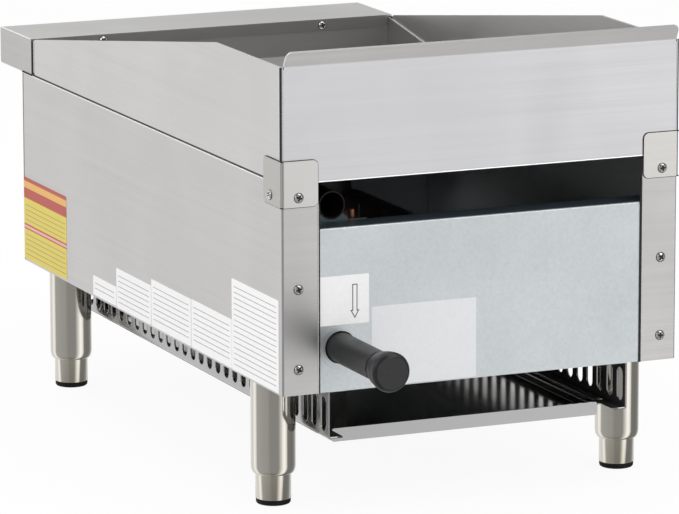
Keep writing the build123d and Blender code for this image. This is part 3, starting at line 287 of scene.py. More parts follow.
def maths(tree, operation, first, second=0.5):
    """The output of a Math node."""
    return node(tree, "Math", {0: first, 1: second}, operation=operation).outputs[0]


def spread(tree, value, low, high, to_low=0.0, to_high=1.0):
    """The output of a clamped Map Range node."""
    made = node(tree, "MapRange", {"Value": value, "From Min": low, "From Max": high,
                                   "To Min": to_low, "To Max": to_high})
    return made.outputs["Result"]


def blended(tree, factor, first, second):
    """The colour output of a Mix node."""
    return node(tree, "Mix", {0: factor, 6: first, 7: second}, data_type="RGBA").outputs[2]


def banded(tree, value, interpolation, bands):
    """The colour output of a ramp with a stop for each band, a position and a colour."""
    ramp = node(tree, "ValToRGB", {"Fac": value})
    ramp.color_ramp.interpolation = interpolation
    stops = ramp.color_ramp.elements
    while len(stops) < len(bands):
        stops.new(0.5)
    for stop, (position, shade) in zip(stops, bands):
        stop.position = position
        stop.color = (*shade, 1)
    return ramp.outputs["Color"]


def new_group(name, inputs, outputs):
    """An empty node group with named sockets, its input node and its output node."""
    tree = bpy.data.node_groups.new(name, "ShaderNodeTree")
    for label, kind, value in inputs:
        socket = tree.interface.new_socket(label, in_out="INPUT", socket_type="NodeSocket" + kind)
        if value is not None:
            socket.default_value = value
    for label, kind in outputs:
        tree.interface.new_socket(label, in_out="OUTPUT", socket_type="NodeSocket" + kind)
    return tree, tree.nodes.new("NodeGroupInput"), tree.nodes.new("NodeGroupOutput")


def brushed_group():
    """Hairlines of a rolled and brushed sheet: noise stretched along the brushing, fine lines and
    slow clouds. Faces that look up or down take lines of their own."""
    tree, source, result = new_group(
        "Brushed sheet",
        [("Position", "Vector", None), ("Facing", "Vector", None), ("Stretch", "Vector", (3, 3, 900))],
        [("Grain", "Float"), ("Cloud", "Float"), ("Height", "Float")])
    upright = node(tree, "VectorMath", {0: source.outputs["Position"], 1: source.outputs["Stretch"]},
                   operation="MULTIPLY")
    flat = node(tree, "VectorMath", {0: source.outputs["Position"], 1: (3, 900, 3)},
                operation="MULTIPLY")
    look = node(tree, "SeparateXYZ", {0: source.outputs["Facing"]})
    level = spread(tree, maths(tree, "ABSOLUTE", look.outputs["Z"]), 0.65, 0.75)
    place = node(tree, "Mix", {0: level, 4: upright.outputs[0], 5: flat.outputs[0]},
                 data_type="VECTOR")
    hair = node(tree, "TexNoise", {"Vector": place.outputs[1], "Scale": 1.0, "Detail": 4.0,
                                   "Roughness": 0.65})
    band = node(tree, "VectorMath", {0: place.outputs[1], 1: (0.12, 0.12, 0.12)}, operation="MULTIPLY")
    wide = node(tree, "TexNoise", {"Vector": band.outputs[0], "Scale": 1.0, "Detail": 2.0})
    grain = maths(tree, "ADD", maths(tree, "MULTIPLY", hair.outputs["Fac"], 0.7),
                  maths(tree, "MULTIPLY", wide.outputs["Fac"], 0.3))
    cloud = node(tree, "TexNoise", {"Vector": source.outputs["Position"], "Scale": 7.0, "Detail": 3.0,
                                    "Distortion": 0.6})
    tree.links.new(grain, result.inputs["Grain"])
    tree.links.new(cloud.outputs["Fac"], result.inputs["Cloud"])
    tree.links.new(hair.outputs["Fac"], result.inputs["Height"])
    return tree


def spangle_group():
    """Zinc spangle: cells a few millimetres wide, each with a shade of its own, under faint clouds."""
    tree, source, result = new_group(
        "Zinc spangle",
        [("Position", "Vector", None), ("Cells", "Float", 420.0)],
        [("Shade", "Float"), ("Cloud", "Float"), ("Height", "Float")])
    warp = node(tree, "TexNoise", {"Vector": source.outputs["Position"], "Scale": 240.0, "Detail": 2.0})
    moved = node(tree, "VectorMath", {0: warp.outputs["Color"], 1: (0.0015, 0.0015, 0.0015)},
                 operation="MULTIPLY")
    place = node(tree, "VectorMath", {0: source.outputs["Position"], 1: moved.outputs[0]},
                 operation="ADD")
    cells = node(tree, "TexVoronoi", {"Vector": place.outputs[0], "Scale": source.outputs["Cells"]})
    shade = node(tree, "RGBToBW", {0: cells.outputs["Color"]})
    cloud = node(tree, "TexNoise", {"Vector": source.outputs["Position"], "Scale": 9.0, "Detail": 4.0})
    tree.links.new(shade.outputs[0], result.inputs["Shade"])
    tree.links.new(cloud.outputs["Fac"], result.inputs["Cloud"])
    tree.links.new(cells.outputs["Distance"], result.inputs["Height"])
    return tree


def mottle_group():
    """Handling marks and fine grain of a cast, painted or moulded surface: two noises and fine
    speckle."""
    tree, source, result = new_group(
        "Mottle",
        [("Position", "Vector", None), ("Scale", "Float", 30.0), ("Speckle", "Float", 900.0)],
        [("Cloud", "Float"), ("Fleck", "Float")])
    cloud = node(tree, "TexNoise", {"Vector": source.outputs["Position"],
                                    "Scale": source.outputs["Scale"], "Detail": 5.0, "Roughness": 0.6})
    fleck = node(tree, "TexNoise", {"Vector": source.outputs["Position"],
                                    "Scale": source.outputs["Speckle"], "Detail": 2.0})
    tree.links.new(cloud.outputs["Fac"], result.inputs["Cloud"])
    tree.links.new(fleck.outputs["Fac"], result.inputs["Fleck"])
    return tree


# Materials

def start_material(name, **constants):
    """A material, its tree, its Principled shader with these constant sockets, and the coordinates that
    its patterns read."""
    material = bpy.data.materials.new(name)
    material.use_nodes = True
    tree = material.node_tree
    shader = tree.nodes["Principled BSDF"]
    for key, value in constants.items():
        shader.inputs[key.replace("_", " ")].default_value = value
    place = node(tree, "TexCoord")
    return material, tree, shader, place


def use_group(tree, group, inputs):
    """The outputs of a group node with a value or a link for each named input."""
    return node(tree, "Group", inputs, node_tree=group).outputs


def tint(base, factor):
    """An opaque colour: the base times the factor."""
    return (base[0] * factor, base[1] * factor, base[2] * factor, 1)


def bumped(tree, shader, height, distance, strength=0.5):
    """Raises the shader's surface by the height times the distance in metres."""
    bump = node(tree, "Bump", {"Height": height, "Distance": distance, "Strength": strength})
    tree.links.new(bump.outputs[0], shader.inputs["Normal"])


def parted(tree, place, axis, level, near, far):
    """One colour up to a level plane across the axis, another beyond it."""
    along = node(tree, "SeparateXYZ", {0: place.outputs["Object"]}).outputs[axis]
    return blended(tree, maths(tree, "GREATER_THAN", along, level), near, far)


def brushed_metal(name, base, roughness, contrast, height=0.00002, stretch=(3, 3, 900), rim=None):
    """Brushed sheet: the grain and the clouds shade the colour and the roughness. rim is a level of Y
    and the colour beyond it, a painted light that makes one face of the sheet lighter."""
    material, tree, shader, place = start_material(name, Metallic=1.0)
    brushed = use_group(tree, groups["brushed"], {
        "Position": place.outputs["Object"], "Facing": place.outputs["Normal"], "Stretch": stretch})
    mixed = maths(tree, "ADD", maths(tree, "MULTIPLY", brushed["Grain"], 0.6),
                  maths(tree, "MULTIPLY", brushed["Cloud"], 0.4))
    shade = spread(tree, mixed, 0.35, 0.65)
    shaded = blended(tree, shade, tint(base, 1 - contrast), tint(base, 1 + contrast))
    # Painted light: the face beyond the level takes the lighter colour.
    if rim:
        shaded = parted(tree, place, "Y", rim[0], shaded, tint(rim[1], 1))
    tree.links.new(shaded, shader.inputs["Base Color"])
    tree.links.new(spread(tree, mixed, 0.35, 0.65, roughness * 1.15, roughness * 0.85),
                   shader.inputs["Roughness"])
    bumped(tree, shader, brushed["Height"], height, 0.35)
    return material


def mottled(name, base, roughness, metallic, contrast, scale, speckle, height, second=None,
            **constants):
    """Cast, painted, stained or moulded surface: clouds and flecks shade the colour and the
    roughness."""
    material, tree, shader, place = start_material(name, Metallic=metallic, **constants)
    marks = use_group(tree, groups["mottle"], {
        "Position": place.outputs["Object"], "Scale": scale, "Speckle": speckle})
    shade = spread(tree, marks["Cloud"], 0.32, 0.68)
    other = tint(second, 1) if second else tint(base, 1 + contrast)
    tree.links.new(blended(tree, shade, tint(base, 1 - contrast), other), shader.inputs["Base Color"])
    tree.links.new(spread(tree, marks["Cloud"], 0.3, 0.7, roughness * 0.8, roughness * 1.2),
                   shader.inputs["Roughness"])
    bumped(tree, shader, marks["Fleck"], height)
    return material


def galvanised(name, base, painted_shade_face=None):
    """Zinc-coated sheet: spangle and clouds over a bluish grey. The last argument, if given, is a level
    of Y and a colour that darkens the sheet's inner side as painted shade."""
    material, tree, shader, place = start_material(name, Metallic=0.85)
    zinc = use_group(tree, groups["spangle"], {"Position": place.outputs["Object"]})
    mixed = maths(tree, "ADD", maths(tree, "MULTIPLY", zinc["Shade"], 0.3),
                  maths(tree, "MULTIPLY", zinc["Cloud"], 0.7))
    shade = spread(tree, mixed, 0.3, 0.7)
    shaded = blended(tree, shade, tint(base, 0.955), tint(base, 1.04))
    # Painted shade: the sheet's inner side takes the darker colour.
    if painted_shade_face:
        shaded = parted(tree, place, "Y", painted_shade_face[0], tint(painted_shade_face[1], 1), shaded)
    tree.links.new(shaded, shader.inputs["Base Color"])
    tree.links.new(spread(tree, mixed, 0.3, 0.7, 0.48, 0.40), shader.inputs["Roughness"])
    bumped(tree, shader, zinc["Height"], 0.00003, 0.3)
    return material


groups = {}
finishes = {}
# Parts whose finish isn't named by their slot in the record
OWN_FINISH = {"bottom_pan": "bright_sheet", "back_splash": "back_sheet", "front_ledge": "ledge_sheet",
              "corner_bracket_right": "bracket_sheet", "corner_bracket_left": "bracket_sheet",
              "rear_panel": "flue_sheet", "pilot_bracket": "sooted_sheet",
              "pilot_fitting": "copper_line", "thermocouple": "pilot_steel"}


def face_level(node_name, depth):
    """The plane of constant Y that lies the depth in front of a part's rearmost point."""
    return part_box(node_name)[1].y - depth


def make_finishes(colours):
    """Builds the shared groups, then one material for each finish."""
    groups.update(brushed=brushed_group(), spangle=spangle_group(), mottle=mottle_group())
    # Painted light: beyond this plane the brackets' rear flanges are lighter than their side flanges.
    bracket_light_plane = (face_level("corner_bracket_left", 0.0015), colours.bracket_rear_painted_light)
    # Painted light: beyond this plane the pan's rear face is lighter than the rest of the pan.
    pan_light_plane = (face_level("bottom_pan", 0.0015), colours.pan_rim_painted_light)
    # Painted shade: inside this plane the rear panel is darkened.
    rear_shade_plane = (face_level("rear_panel", 0.0018), colours.rear_inner_painted_shade)
    # Colour, roughness, contrast and what else differs.
    for name, *values, more in (
            ("stainless_panel", colours.steel, 0.36, 0.03, {}),
            ("stainless_splash", colours.splash_steel, 0.38, 0.025, {}),
            ("back_sheet", colours.back_steel, 0.38, 0.025, {}),
            ("bracket_sheet", colours.bracket_side_painted_shade, 0.34, 0.03, {"rim": bracket_light_plane}),
            ("ledge_sheet", colours.ledge_steel, 0.36, 0.03, {}),
            ("stainless_tube", colours.leg_steel, 0.11, 0.03, {"stretch": (250, 250, 1400)}),
            ("bright_sheet", colours.pan_painted_shade_steel, 0.13, 0.05, {"height": 0.000004, "rim": pan_light_plane})):
        finishes[name] = brushed_metal(name, *values, **more)
    for name, base, painted_shade_face in (
            ("galvanised", colours.zinc, None),
            ("flue_sheet", colours.zinc, rear_shade_plane),
            ("sooted_sheet", colours.sooted_zinc, None)):
        finishes[name] = galvanised(name, base, painted_shade_face)
    # Colour, roughness, metallic, contrast, scales of the clouds and the flecks, depth of the grain and
    # what else differs.
    for name, *values, more in (
            ("rail_sheet", colours.rail_steel, 0.2, 1.0, 0.05, 40.0, 300.0, 0.000001, {}),
            # Painted shade: a dull near-black copy for the rails' inner faces.
            ("rail_inside", colours.rail_painted_shade, 0.6, 0.0, 0.05, 40.0, 300.0, 0.000001,
             {"Specular_IOR_Level": 0.1}),
            # Painted highlight: the near-white finish of the bend rods.
            ("bright_edge", colours.bright_edge, 0.25, 1.0, 0.02, 30.0, 900.0, 0.00005, {}),
            # Painted shade: the near-black finish of the seam rods, edge rods, recess fills and shadow
            # rings.
            ("raw_edge", colours.raw_edge, 0.7, 0.0, 0.1, 30.0, 900.0, 0.00005, {}),
            ("label_ink", colours.label_ink, 0.5, 0.0, 0.1, 300.0, 2500.0, 0.00005, {}),
            ("label_grey", colours.label_grey, 0.5, 0.0, 0.1, 300.0, 2500.0, 0.00005, {}),
            ("plate_steel", colours.dark_steel, 0.34, 1.0, 0.25, 14.0, 1200.0, 0.00005, {}),
            ("burner_steel", colours.burner_steel, 0.5, 1.0, 0.25, 22.0, 900.0, 0.00005,
             {"second": colours.burner_stain}),
            ("pilot_steel", colours.sooted, 0.6, 0.6, 0.3, 60.0, 900.0, 0.00005,
             {"second": colours.soot_brown}),
            ("black_pipe", colours.pipe_black, 0.42, 0.0, 0.25, 60.0, 1600.0, 0.0001,
             {"Specular_IOR_Level": 0.4}),
            ("black_plastic", colours.cap_black, 0.34, 0.0, 0.15, 50.0, 2200.0, 0.00005,
             {"Specular_IOR_Level": 0.4}),
            ("knob_plastic", colours.knob_black, 0.34, 0.0, 0.12, 50.0, 2200.0, 0.00005, {}),
            ("rubber", colours.rubber, 0.7, 0.0, 0.2, 80.0, 1500.0, 0.0001,
             {"Specular_IOR_Level": 0.25}),
            ("brass", colours.brass, 0.32, 1.0, 0.12, 80.0, 1800.0, 0.00005, {}),
            ("copper_line", colours.copper, 0.3, 1.0, 0.12, 90.0, 900.0, 0.00005,
             {"second": colours.copper_stain}),
            ("zinc_screw", colours.screw_zinc, 0.13, 1.0, 0.08, 200.0, 3000.0, 0.00001, {}),
            ("paper", colours.paper, 0.55, 0.0, 0.02, 300.0, 2500.0, 0.00003, {}),
            ("grey_paper", colours.grey_paper, 0.5, 0.0, 0.02, 300.0, 2500.0, 0.00003, {})):
        finishes[name] = mottled(name, *values, **more)


# Operators

class GRIDDLE_OT_finishes(Operator):
    """Makes the materials and gives each carried-over part its own"""
    bl_idname = "griddle.finishes"
    bl_label = "Finish the sheet metal and inner parts"

    def execute(self, context):
        make_finishes(context.scene.griddle_finishes)
        for entry in frame["record"]["subparts"]:
            part = frame["nodes"][entry["node"]]
            part.data.materials.clear()
            part.data.materials.append(finishes[OWN_FINISH.get(entry["node"], entry["material_slot"])])
        return {"FINISHED"}


def placed(piece, body, slot=None, *nodes):
    """Hangs a piece on its body, in place of the parts it stands for. The slot is not used."""
    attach(piece, body)
    if nodes:
        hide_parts(*nodes)
    return piece


def rail_skin(node_name):
    """Outer skin of a slotted rail. Each slot has a cell: point = rectangle * (1 - k) + slot * k, for a
    parameter once round both outlines. The flanges are a bent profile carried along Y, and the plain
    ends of the web are strips between them."""
    low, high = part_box(node_name)
    outer = max(abs(low.x), abs(high.x))
    inner = min(abs(low.x), abs(high.x))
    flange, bend, margin, drop = 0.0135, 0.002, 0.011, 0.007
    slot_w, slot_h, pitch, steps = 0.012, 0.0305, 0.0204, 10
    tip = outer - flange
    count = int((high.y - low.y - 2 * margin) // pitch) + 1
    centre_y = high.y - margin - pitch * np.arange(count)[::-1]
    centre_z = high.z - drop - slot_h / 2
    bottom, top = low.z + bend, high.z - bend
    s = np.arange(steps) / steps
    square = np.concatenate([
        np.stack([-1 + 2 * s, 0 * s], 1), np.stack([0 * s + 1, s], 1),
        np.stack([1 - 2 * s, 0 * s + 1], 1), np.stack([0 * s - 1, 1 - s], 1)])
    rectangle = np.stack([square[:, 0] * pitch / 2, bottom + square[:, 1] * (top - bottom)], 1)
    r, straight = slot_w / 2, (slot_h - slot_w) / 2
    slot = np.concatenate([
        np.stack([-r * np.cos(pi * s), -straight - r * np.sin(pi * s)], 1),
        np.stack([0 * s + r, -straight + 2 * straight * s], 1),
        np.stack([r * np.cos(pi * s), straight + r * np.sin(pi * s)], 1),
        np.stack([0 * s - r, straight - 2 * straight * s], 1)])
    slot[:, 1] += centre_z
    k = np.array([0, 0.45, 0.8, 1])[:, None, None]
    cell = rectangle * (1 - k) + slot * k
    cells = np.empty((count,) + cell.shape[:2] + (3,))
    cells[..., 0] = outer
    cells[..., 1] = cell[None, ..., 0] + centre_y[:, None, None]
    cells[..., 2] = cell[None, ..., 1]
    edges = centre_y[0] - pitch / 2 + pitch / steps * np.arange(count * steps + 1)
    runs = np.concatenate([[low.y], edges, [high.y]])
    turn = np.radians(np.linspace(0, 90, 5))
    lower = np.concatenate([
        [(tip, low.z), ((tip + outer) / 2, low.z)],
        np.stack([outer - bend + bend * np.sin(turn), bottom - bend * np.cos(turn)], 1)])
    upper = np.concatenate([
        np.stack([outer - bend + bend * np.cos(turn), top + bend * np.sin(turn)], 1),
        [((outer + inner) / 2, high.z), (inner, high.z)]])
    points, faces, start = [cells.reshape(-1, 3)], [grid_faces(*cells.shape[:3])], cells.size // 3
    heights = np.stack([0 * s + outer, bottom + s * (top - bottom)], 1)
    heights = np.concatenate([heights, [(outer, top)]])
    for line, span in ((lower, runs), (upper, runs), (heights, runs[:2]), (heights, runs[-2:])):
        strip = np.empty((1, len(line), len(span), 3))
        strip[..., 0] = line[None, :, None, 0]
        strip[..., 1] = span[None, None, :]
        strip[..., 2] = line[None, :, None, 1]
        points.append(strip.reshape(-1, 3))
        faces.append(grid_faces(*strip.shape[:3], wrap=False) + start)
        start += strip.size // 3
    points, faces = np.concatenate(points), np.concatenate(faces)
    if high.x < 0:
        points = points * (-1, 1, 1)
        faces = faces[:, ::-1]
    return points, faces


class GRIDDLE_OT_rails(Operator):
    """Makes the two slotted base rails"""
    bl_idname = "griddle.rails"
    bl_label = "Slotted base rails"

    def execute(self, context):
        for side in ("right", "left"):
            points, faces = rail_skin("base_rail_" + side)
            rail = mesh_object("slotted_rail_" + side, points, faces, finishes["rail_sheet"],
                               smooth=30)
            wall = rail.modifiers.new("Sheet", "SOLIDIFY")
            wall.thickness = context.scene.griddle_fittings.rail_wall
            wall.offset = -1
            wall.use_even_offset = True
            # Painted shade: the solidified inner side takes the near-black finish.
            rail.data.materials.append(finishes["rail_inside"])
            wall.material_offset = 1
            placed(rail, "griddle", "stainless_panel", "base_rail_" + side)
        return {"FINISHED"}


class GRIDDLE_OT_legs(Operator):
    """Makes the leg sleeves, the feet that screw out of them and their pads"""
    bl_idname = "griddle.legs"
    bl_label = "Legs, feet and pads"

    def execute(self, context):
        fittings = context.scene.griddle_fittings
        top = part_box("side_panel_right")[0].z
        shoulder_height, straight, slack = 0.008, 0.03, 0.0001
        edge, chamfer, pad_round, cup_height, cup_slack = 0.0004, 0.0003, 0.0022, 0.0045, 0.0002
        turn = np.radians(np.linspace(0, 90, 12))
        for corner in CORNERS:
            low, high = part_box("leg_" + corner)
            foot_low, foot_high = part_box("foot_" + corner)
            pad_low, pad_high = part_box("foot_pad_" + corner)
            centre = ((low.x + high.x) / 2, (low.y + high.y) / 2, 0)
            r, foot_r, pad_r = ((last.x - first.x) / 2 for first, last in (
                (low, high), (foot_low, foot_high), (pad_low, pad_high)))
            neck, bore, bore_top = r - fittings.sleeve_wall, foot_r + slack, foot_high.z + chamfer
            shoulder = np.stack([low.z + shoulder_height * (1 - np.cos(turn)),
                                 neck - edge + (r - neck + edge) * np.sin(turn)], 1)
            sleeve = profile([(bore_top, 0), (bore_top, bore), (low.z + chamfer, bore),
                              (low.z, bore + chamfer)], shoulder,
                             [(top - straight, r), (top, r), (top, 0)])
            foot = profile([(foot_low.z, 0), (foot_low.z, foot_r - edge), (foot_low.z + edge, foot_r),
                            (foot_high.z, foot_r), (foot_high.z, 0)])
            cup_top, cup_r = pad_high.z + cup_height, foot_r - cup_slack
            pad = profile([(pad_low.z, 0), (pad_low.z, pad_r - pad_round - chamfer)],
                          arc((pad_low.z + pad_round, pad_r - pad_round), pad_round, -90, 0, 8),
                          [(cup_top, pad_r), (cup_top, cup_r), (pad_high.z, cup_r), (pad_high.z, 0)])
            for word, (along, out), body, finish, part in (
                    ("leg_sleeve_", sleeve, "griddle", "stainless_tube", "leg_"),
                    ("foot_tube_", foot, "foot_" + corner, "stainless_tube", "foot_"),
                    ("foot_rubber_", pad, "foot_" + corner, "rubber", "foot_pad_")):
                piece = turned_piece(word + corner, centre, UP, along, out, finishes[finish],
                                     fittings.turned_sides, smooth=50)
                placed(piece, body, finish, part + corner)
        return {"FINISHED"}


def pipe_profile(start, end, radius, plain, sides):
    """Rows (along, out) of a pipe with a thread before and after its plain stretch.
    Out = crest - depth * ridge, where ridge falls from 1 to 0 and rises again over each pitch, and moves
    on by one pitch once round."""
    crest, depth, pitch, step, bore = radius - 0.00045, 0.0008, 0.00181, 0.0002, radius - 0.0029
    first, last = plain
    along = np.concatenate([np.arange(start, first, pitch / 6), [first + step, last - step],
                            np.arange(last, end, pitch / 6)])[:, None]
    t = np.linspace(0, 2 * pi, sides, endpoint=False)[None]
    ridge = np.abs((along / pitch - t / (2 * pi)) % 1 - 0.5) * 2
    out = np.where((along > first) & (along < last), radius, crest - depth * ridge)
    along = np.concatenate([[[start]], along, [[end], [start]]]) + 0 * t
    out = np.vstack([np.full((1, sides), bore), out, np.full((2, sides), bore)])
    return along, out


def cap_profile(low, high, pipe_radius):
    """Rows (along, out) of the inlet cap: a mouth that fits the pipe, a body that flares by a quarter
    sine, a round edge and a flat end."""
    slack, rim, wall, lip, flare, edge, end_wall = 0.0003, 0.0009, 0.0011, 0.0008, 0.0172, 0.0036, 0.004
    r, mouth, inside = (high.x - low.x) / 2, pipe_radius + slack, high.y - end_wall
    swell = np.radians(np.linspace(0, 90, 14))
    body = np.stack([low.y + lip + flare * swell * 2 / pi,
                     mouth + wall + (r - mouth - wall) * np.sin(swell)], 1)
    share = np.array([0.8, 0.55, 0.3, 0.1, 0.01, 0])
    face = np.stack([0 * share + high.y, share * r], 1)
    return profile([(inside, 0), (inside, mouth), (low.y, mouth), (low.y, mouth + rim)], body,
                   arc((high.y - edge - lip, r - edge), edge, 0, 78, 10), face)


class GRIDDLE_OT_inlet(Operator):
    """Makes the gas inlet pipe with its thread, and the cap over its end"""
    bl_idname = "griddle.inlet"
    bl_label = "Gas inlet"

    def execute(self, context):
        fittings = context.scene.griddle_fittings
        sides, axis = fittings.turned_sides, (0, 1, 0)
        low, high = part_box("inlet_pipe")
        cap_low, cap_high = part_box("inlet_cap")
        x, z, r = (low.x + high.x) / 2, (low.z + high.z) / 2, (high.x - low.x) / 2
        first_thread, cap_clearance, collar_width, rise, slope = 0.019, 0.0053, 0.0062, 0.0003, 0.0002
        plain = (low.y + first_thread, cap_low.y - cap_clearance)
        along, out = pipe_profile(low.y, high.y, r, plain, sides)
        pipe = turned_piece("inlet_tube", (x, 0, z), axis, along, out, finishes["black_pipe"], sides,
                            smooth=30)
        placed(pipe, "griddle", "black_pipe", "inlet_pipe")
        inside, collar_r = r + fittings.hole_gap, r + collar_width
        along, out = profile([(0, inside), (0, collar_r), (rise, collar_r - slope), (rise, inside),
                              (0, inside)])
        collar = turned_piece("pipe_collar", (x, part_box("rear_panel")[1].y, z), axis, along, out,
                              finishes["galvanised"], sides)
        placed(collar, "griddle")
        along, out = cap_profile(cap_low, cap_high, r)
        cap = turned_piece("inlet_dust_cap", (x, 0, z), axis, along, out, finishes["black_plastic"],
                           sides)
        placed(cap, "inlet_cap", "black_plastic", "inlet_cap")
        return {"FINISHED"}


def screw_heads(name, origins, axis, phases, fittings, material):
    """Pan heads with a crossed recess. Height = wall + dome * (1 - u ** 2.6) - depth * cross, where u
    is the distance from the axis over the head's radius, dome is the head's height above its wall, and
    cross fades from 1 to 0 at the edges of two arms at right angles."""
    r, h = fittings.screw_radius, fittings.screw_height
    wall, arm, reach, depth = 0.3 * h, 0.19 * r, 0.62 * r, 0.75 * h
    sides = 72
    t = np.linspace(0, 2 * pi, sides, endpoint=False)
    u = np.linspace(1, 0, 30)[:, None]
    across, up = u * r * np.cos(t), u * r * np.sin(t)

    def bar(first, second):
        """1 on an arm that lies along the first direction, fading to 0 past its sides and ends."""
        thin = np.clip((arm * 1.5 - np.abs(second)) / arm, 0, 1)
        end = np.clip((reach * 1.1 - np.abs(first)) / (reach * 0.25), 0, 1)
        return thin * end

    cross = np.maximum(bar(across, up), bar(up, across))
    height = wall + (h - wall) * (1 - u ** 2.6) - depth * cross
    along = np.concatenate([np.zeros((2, sides)), height])
    out = np.concatenate([np.zeros((1, sides)), np.full((1, sides), r), u * r + 0 * t])
    stacks = []
    for origin, phase in zip(origins, phases):
        turn = Matrix.Rotation(phase, 3, Vector(axis))
        stack = turned((0, 0, 0), axis, along, out, sides) @ np.array(turn).T
        stacks.append(stack + np.asarray(origin))
    return grid_object(name, np.concatenate(stacks), material, smooth=50)


def screw_recesses(name, origins, axis, phases, fittings, material):
    """The shadow in each crossed recess: a flat cross of twelve corners, turned by its phase."""
    arm, reach = 0.2 * fittings.screw_radius, 0.66 * fittings.screw_radius
    level, depth = 0.3 * fittings.screw_height, 0.22 * fittings.screw_height
    corners = np.array([(reach, -arm), (reach, arm), (arm, arm), (arm, reach), (-arm, reach),
                        (-arm, arm), (-reach, arm), (-reach, -arm), (-arm, -arm), (-arm, -reach),
                        (arm, -reach), (arm, -arm)])
    axis = Vector(axis)
    side = axis.orthogonal().normalized()
    other = axis.cross(side)
    flat = corners[:, :1] * np.array(side) + corners[:, 1:] * np.array(other)
    outlines = []
    for origin, phase in zip(origins, phases):
        turn = np.array(Matrix.Rotation(phase, 3, axis))
        outlines.append(flat @ turn.T + np.asarray(origin) + level * np.array(axis))
    return slabs(name, outlines, axis, depth, material)


def rivet_heads(name, radius, height, material):
    """Domed heads on both faces of the bottom pan: (along, out) = (height * sin a, radius * cos a)."""
    low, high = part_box("pan_rivets")
    rows = np.linspace(low.y + radius, high.y - radius, 4)
    turn = np.radians(np.linspace(0, 90, 7))
    along = np.concatenate([[0, 0], height * np.sin(turn)])
    out = np.concatenate([[0, radius], radius * np.cos(turn)])
    stacks = []
    for axis, z in (((0, 0, 1), high.z - height), ((0, 0, -1), low.z + height)):
        places = [(side * (high.x - radius), y, z) for side in (1, -1) for y in rows]
        stacks.append(turned(places, axis, along, out, sides=32))
    return grid_object(name, np.concatenate(stacks), material, smooth=50)


def both_sides(x, y, heights):
    """Places on the right and on the left at each height."""
    return [(side * x, y, z) for side in (1, -1) for z in heights]


def screw_sets(r, h):
    """Each set of like screws: its name, the places of its heads, its axis, the turn of each cross in
    radians and the part that it stands for."""
    back, front = (0, 1, 0), (0, -1, 0)
    low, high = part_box("post_screws")
    column = high.x - r
    sets = [("post", both_sides(column, high.y - h, (low.z + r, high.z - r)), back,
             (0.3, 1.1, 0.7, 0.15), "post_screws")]
    low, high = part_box("bracket_screws")
    middle = (low.z + high.z) / 2
    sets.append(("bracket_back", both_sides(column, high.y - h, (middle,)), back, (0.45, 0.9),
                 "bracket_screws"))
    for side, word in ((1, "right"), (-1, "left")):
        sets.append(("bracket_side_" + word, [(side * (high.x - h), low.y + r, middle)], (side, 0, 0),
                     (0.2,), "bracket_screws"))
    low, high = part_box("control_panel_screws")
    sets.append(("control", both_sides(high.x - r, low.y + h, (low.z + r, high.z - r)), front,
                 (0.5, 0.2, 0.9, 1.3), "control_panel_screws"))
    low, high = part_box("ledge_screws")
    sets.append(("ledge", both_sides(high.x - r, high.y - h, ((low.z + high.z) / 2,)), back, (0.4, 1.0),
                 "ledge_screws"))
    return sets


class GRIDDLE_OT_screws(Operator):
    """Makes the crossed pan heads, each with painted shade in its recess and a painted shadow ring round
    it, and the rivet heads
    """
    bl_idname = "griddle.screws"
    bl_label = "Screws and rivets"

    def execute(self, context):
        fittings = context.scene.griddle_fittings
        zinc, dark = finishes["zinc_screw"], finishes["raw_edge"]
        r = fittings.screw_radius
        # Painted shadow: a thin near-black ring under each head; the recesses take a near-black fill as
        # painted shade.
        shadow_ring_radius, painted_shade_depth, shadow_ring_slope = r + 0.0005, 0.00025, 0.0001
        for word, places, axis, phases, source in screw_sets(r, fittings.screw_height):
            heads = screw_heads(word + "_screw_heads", places, axis, phases, fittings, zinc)
            placed(heads, "griddle", "zinc_screw", source)
            fills = screw_recesses(word + "_screw_recesses", places, axis, phases, fittings, dark)
            placed(fills, "griddle")
            along, out = profile([(0, 0), (0, shadow_ring_radius), (painted_shade_depth, shadow_ring_radius - shadow_ring_slope),
                                  (painted_shade_depth, 0)])
            rings = turned_piece(word + "_screw_seams", places, axis, along, out, dark, sides=40)
            placed(rings, "griddle")
        rivets = rivet_heads("pan_rivet_heads", fittings.rivet_radius, fittings.rivet_height, zinc)
        placed(rivets, "griddle", "zinc_screw", "pan_rivets")
        return {"FINISHED"}


def rounded_plate(name, origin, across, width, height, corner, thickness, material):
    """A thin upright sheet: the outline of a rounded rectangle, joined to its middle at the back and
    the front. Outline = corner centre + radius * (cos t, sin t), for t once round."""
    across, sides = Vector(across), 48
    out = across.cross(UP)
    t = np.linspace(0, 2 * pi, sides, endpoint=False) + pi / sides
    centre = np.stack([np.sign(np.cos(t)) * (width / 2 - corner),
                       np.sign(np.sin(t)) * (height / 2 - corner)], 1)
    outline = centre + corner * np.stack([np.cos(t), np.sin(t)], 1)
    rows = [(0, 0), (1, 0), (1, thickness * 0.7), (1 - thickness * 4, thickness), (0, thickness)]
    stack = np.stack([
        np.asarray(origin) + outline[:, :1] * size * np.array(across)
        + outline[:, 1:] * size * np.array(UP) + depth * np.array(out) for size, depth in rows])[None]
    return grid_object(name, stack, material, smooth=30)


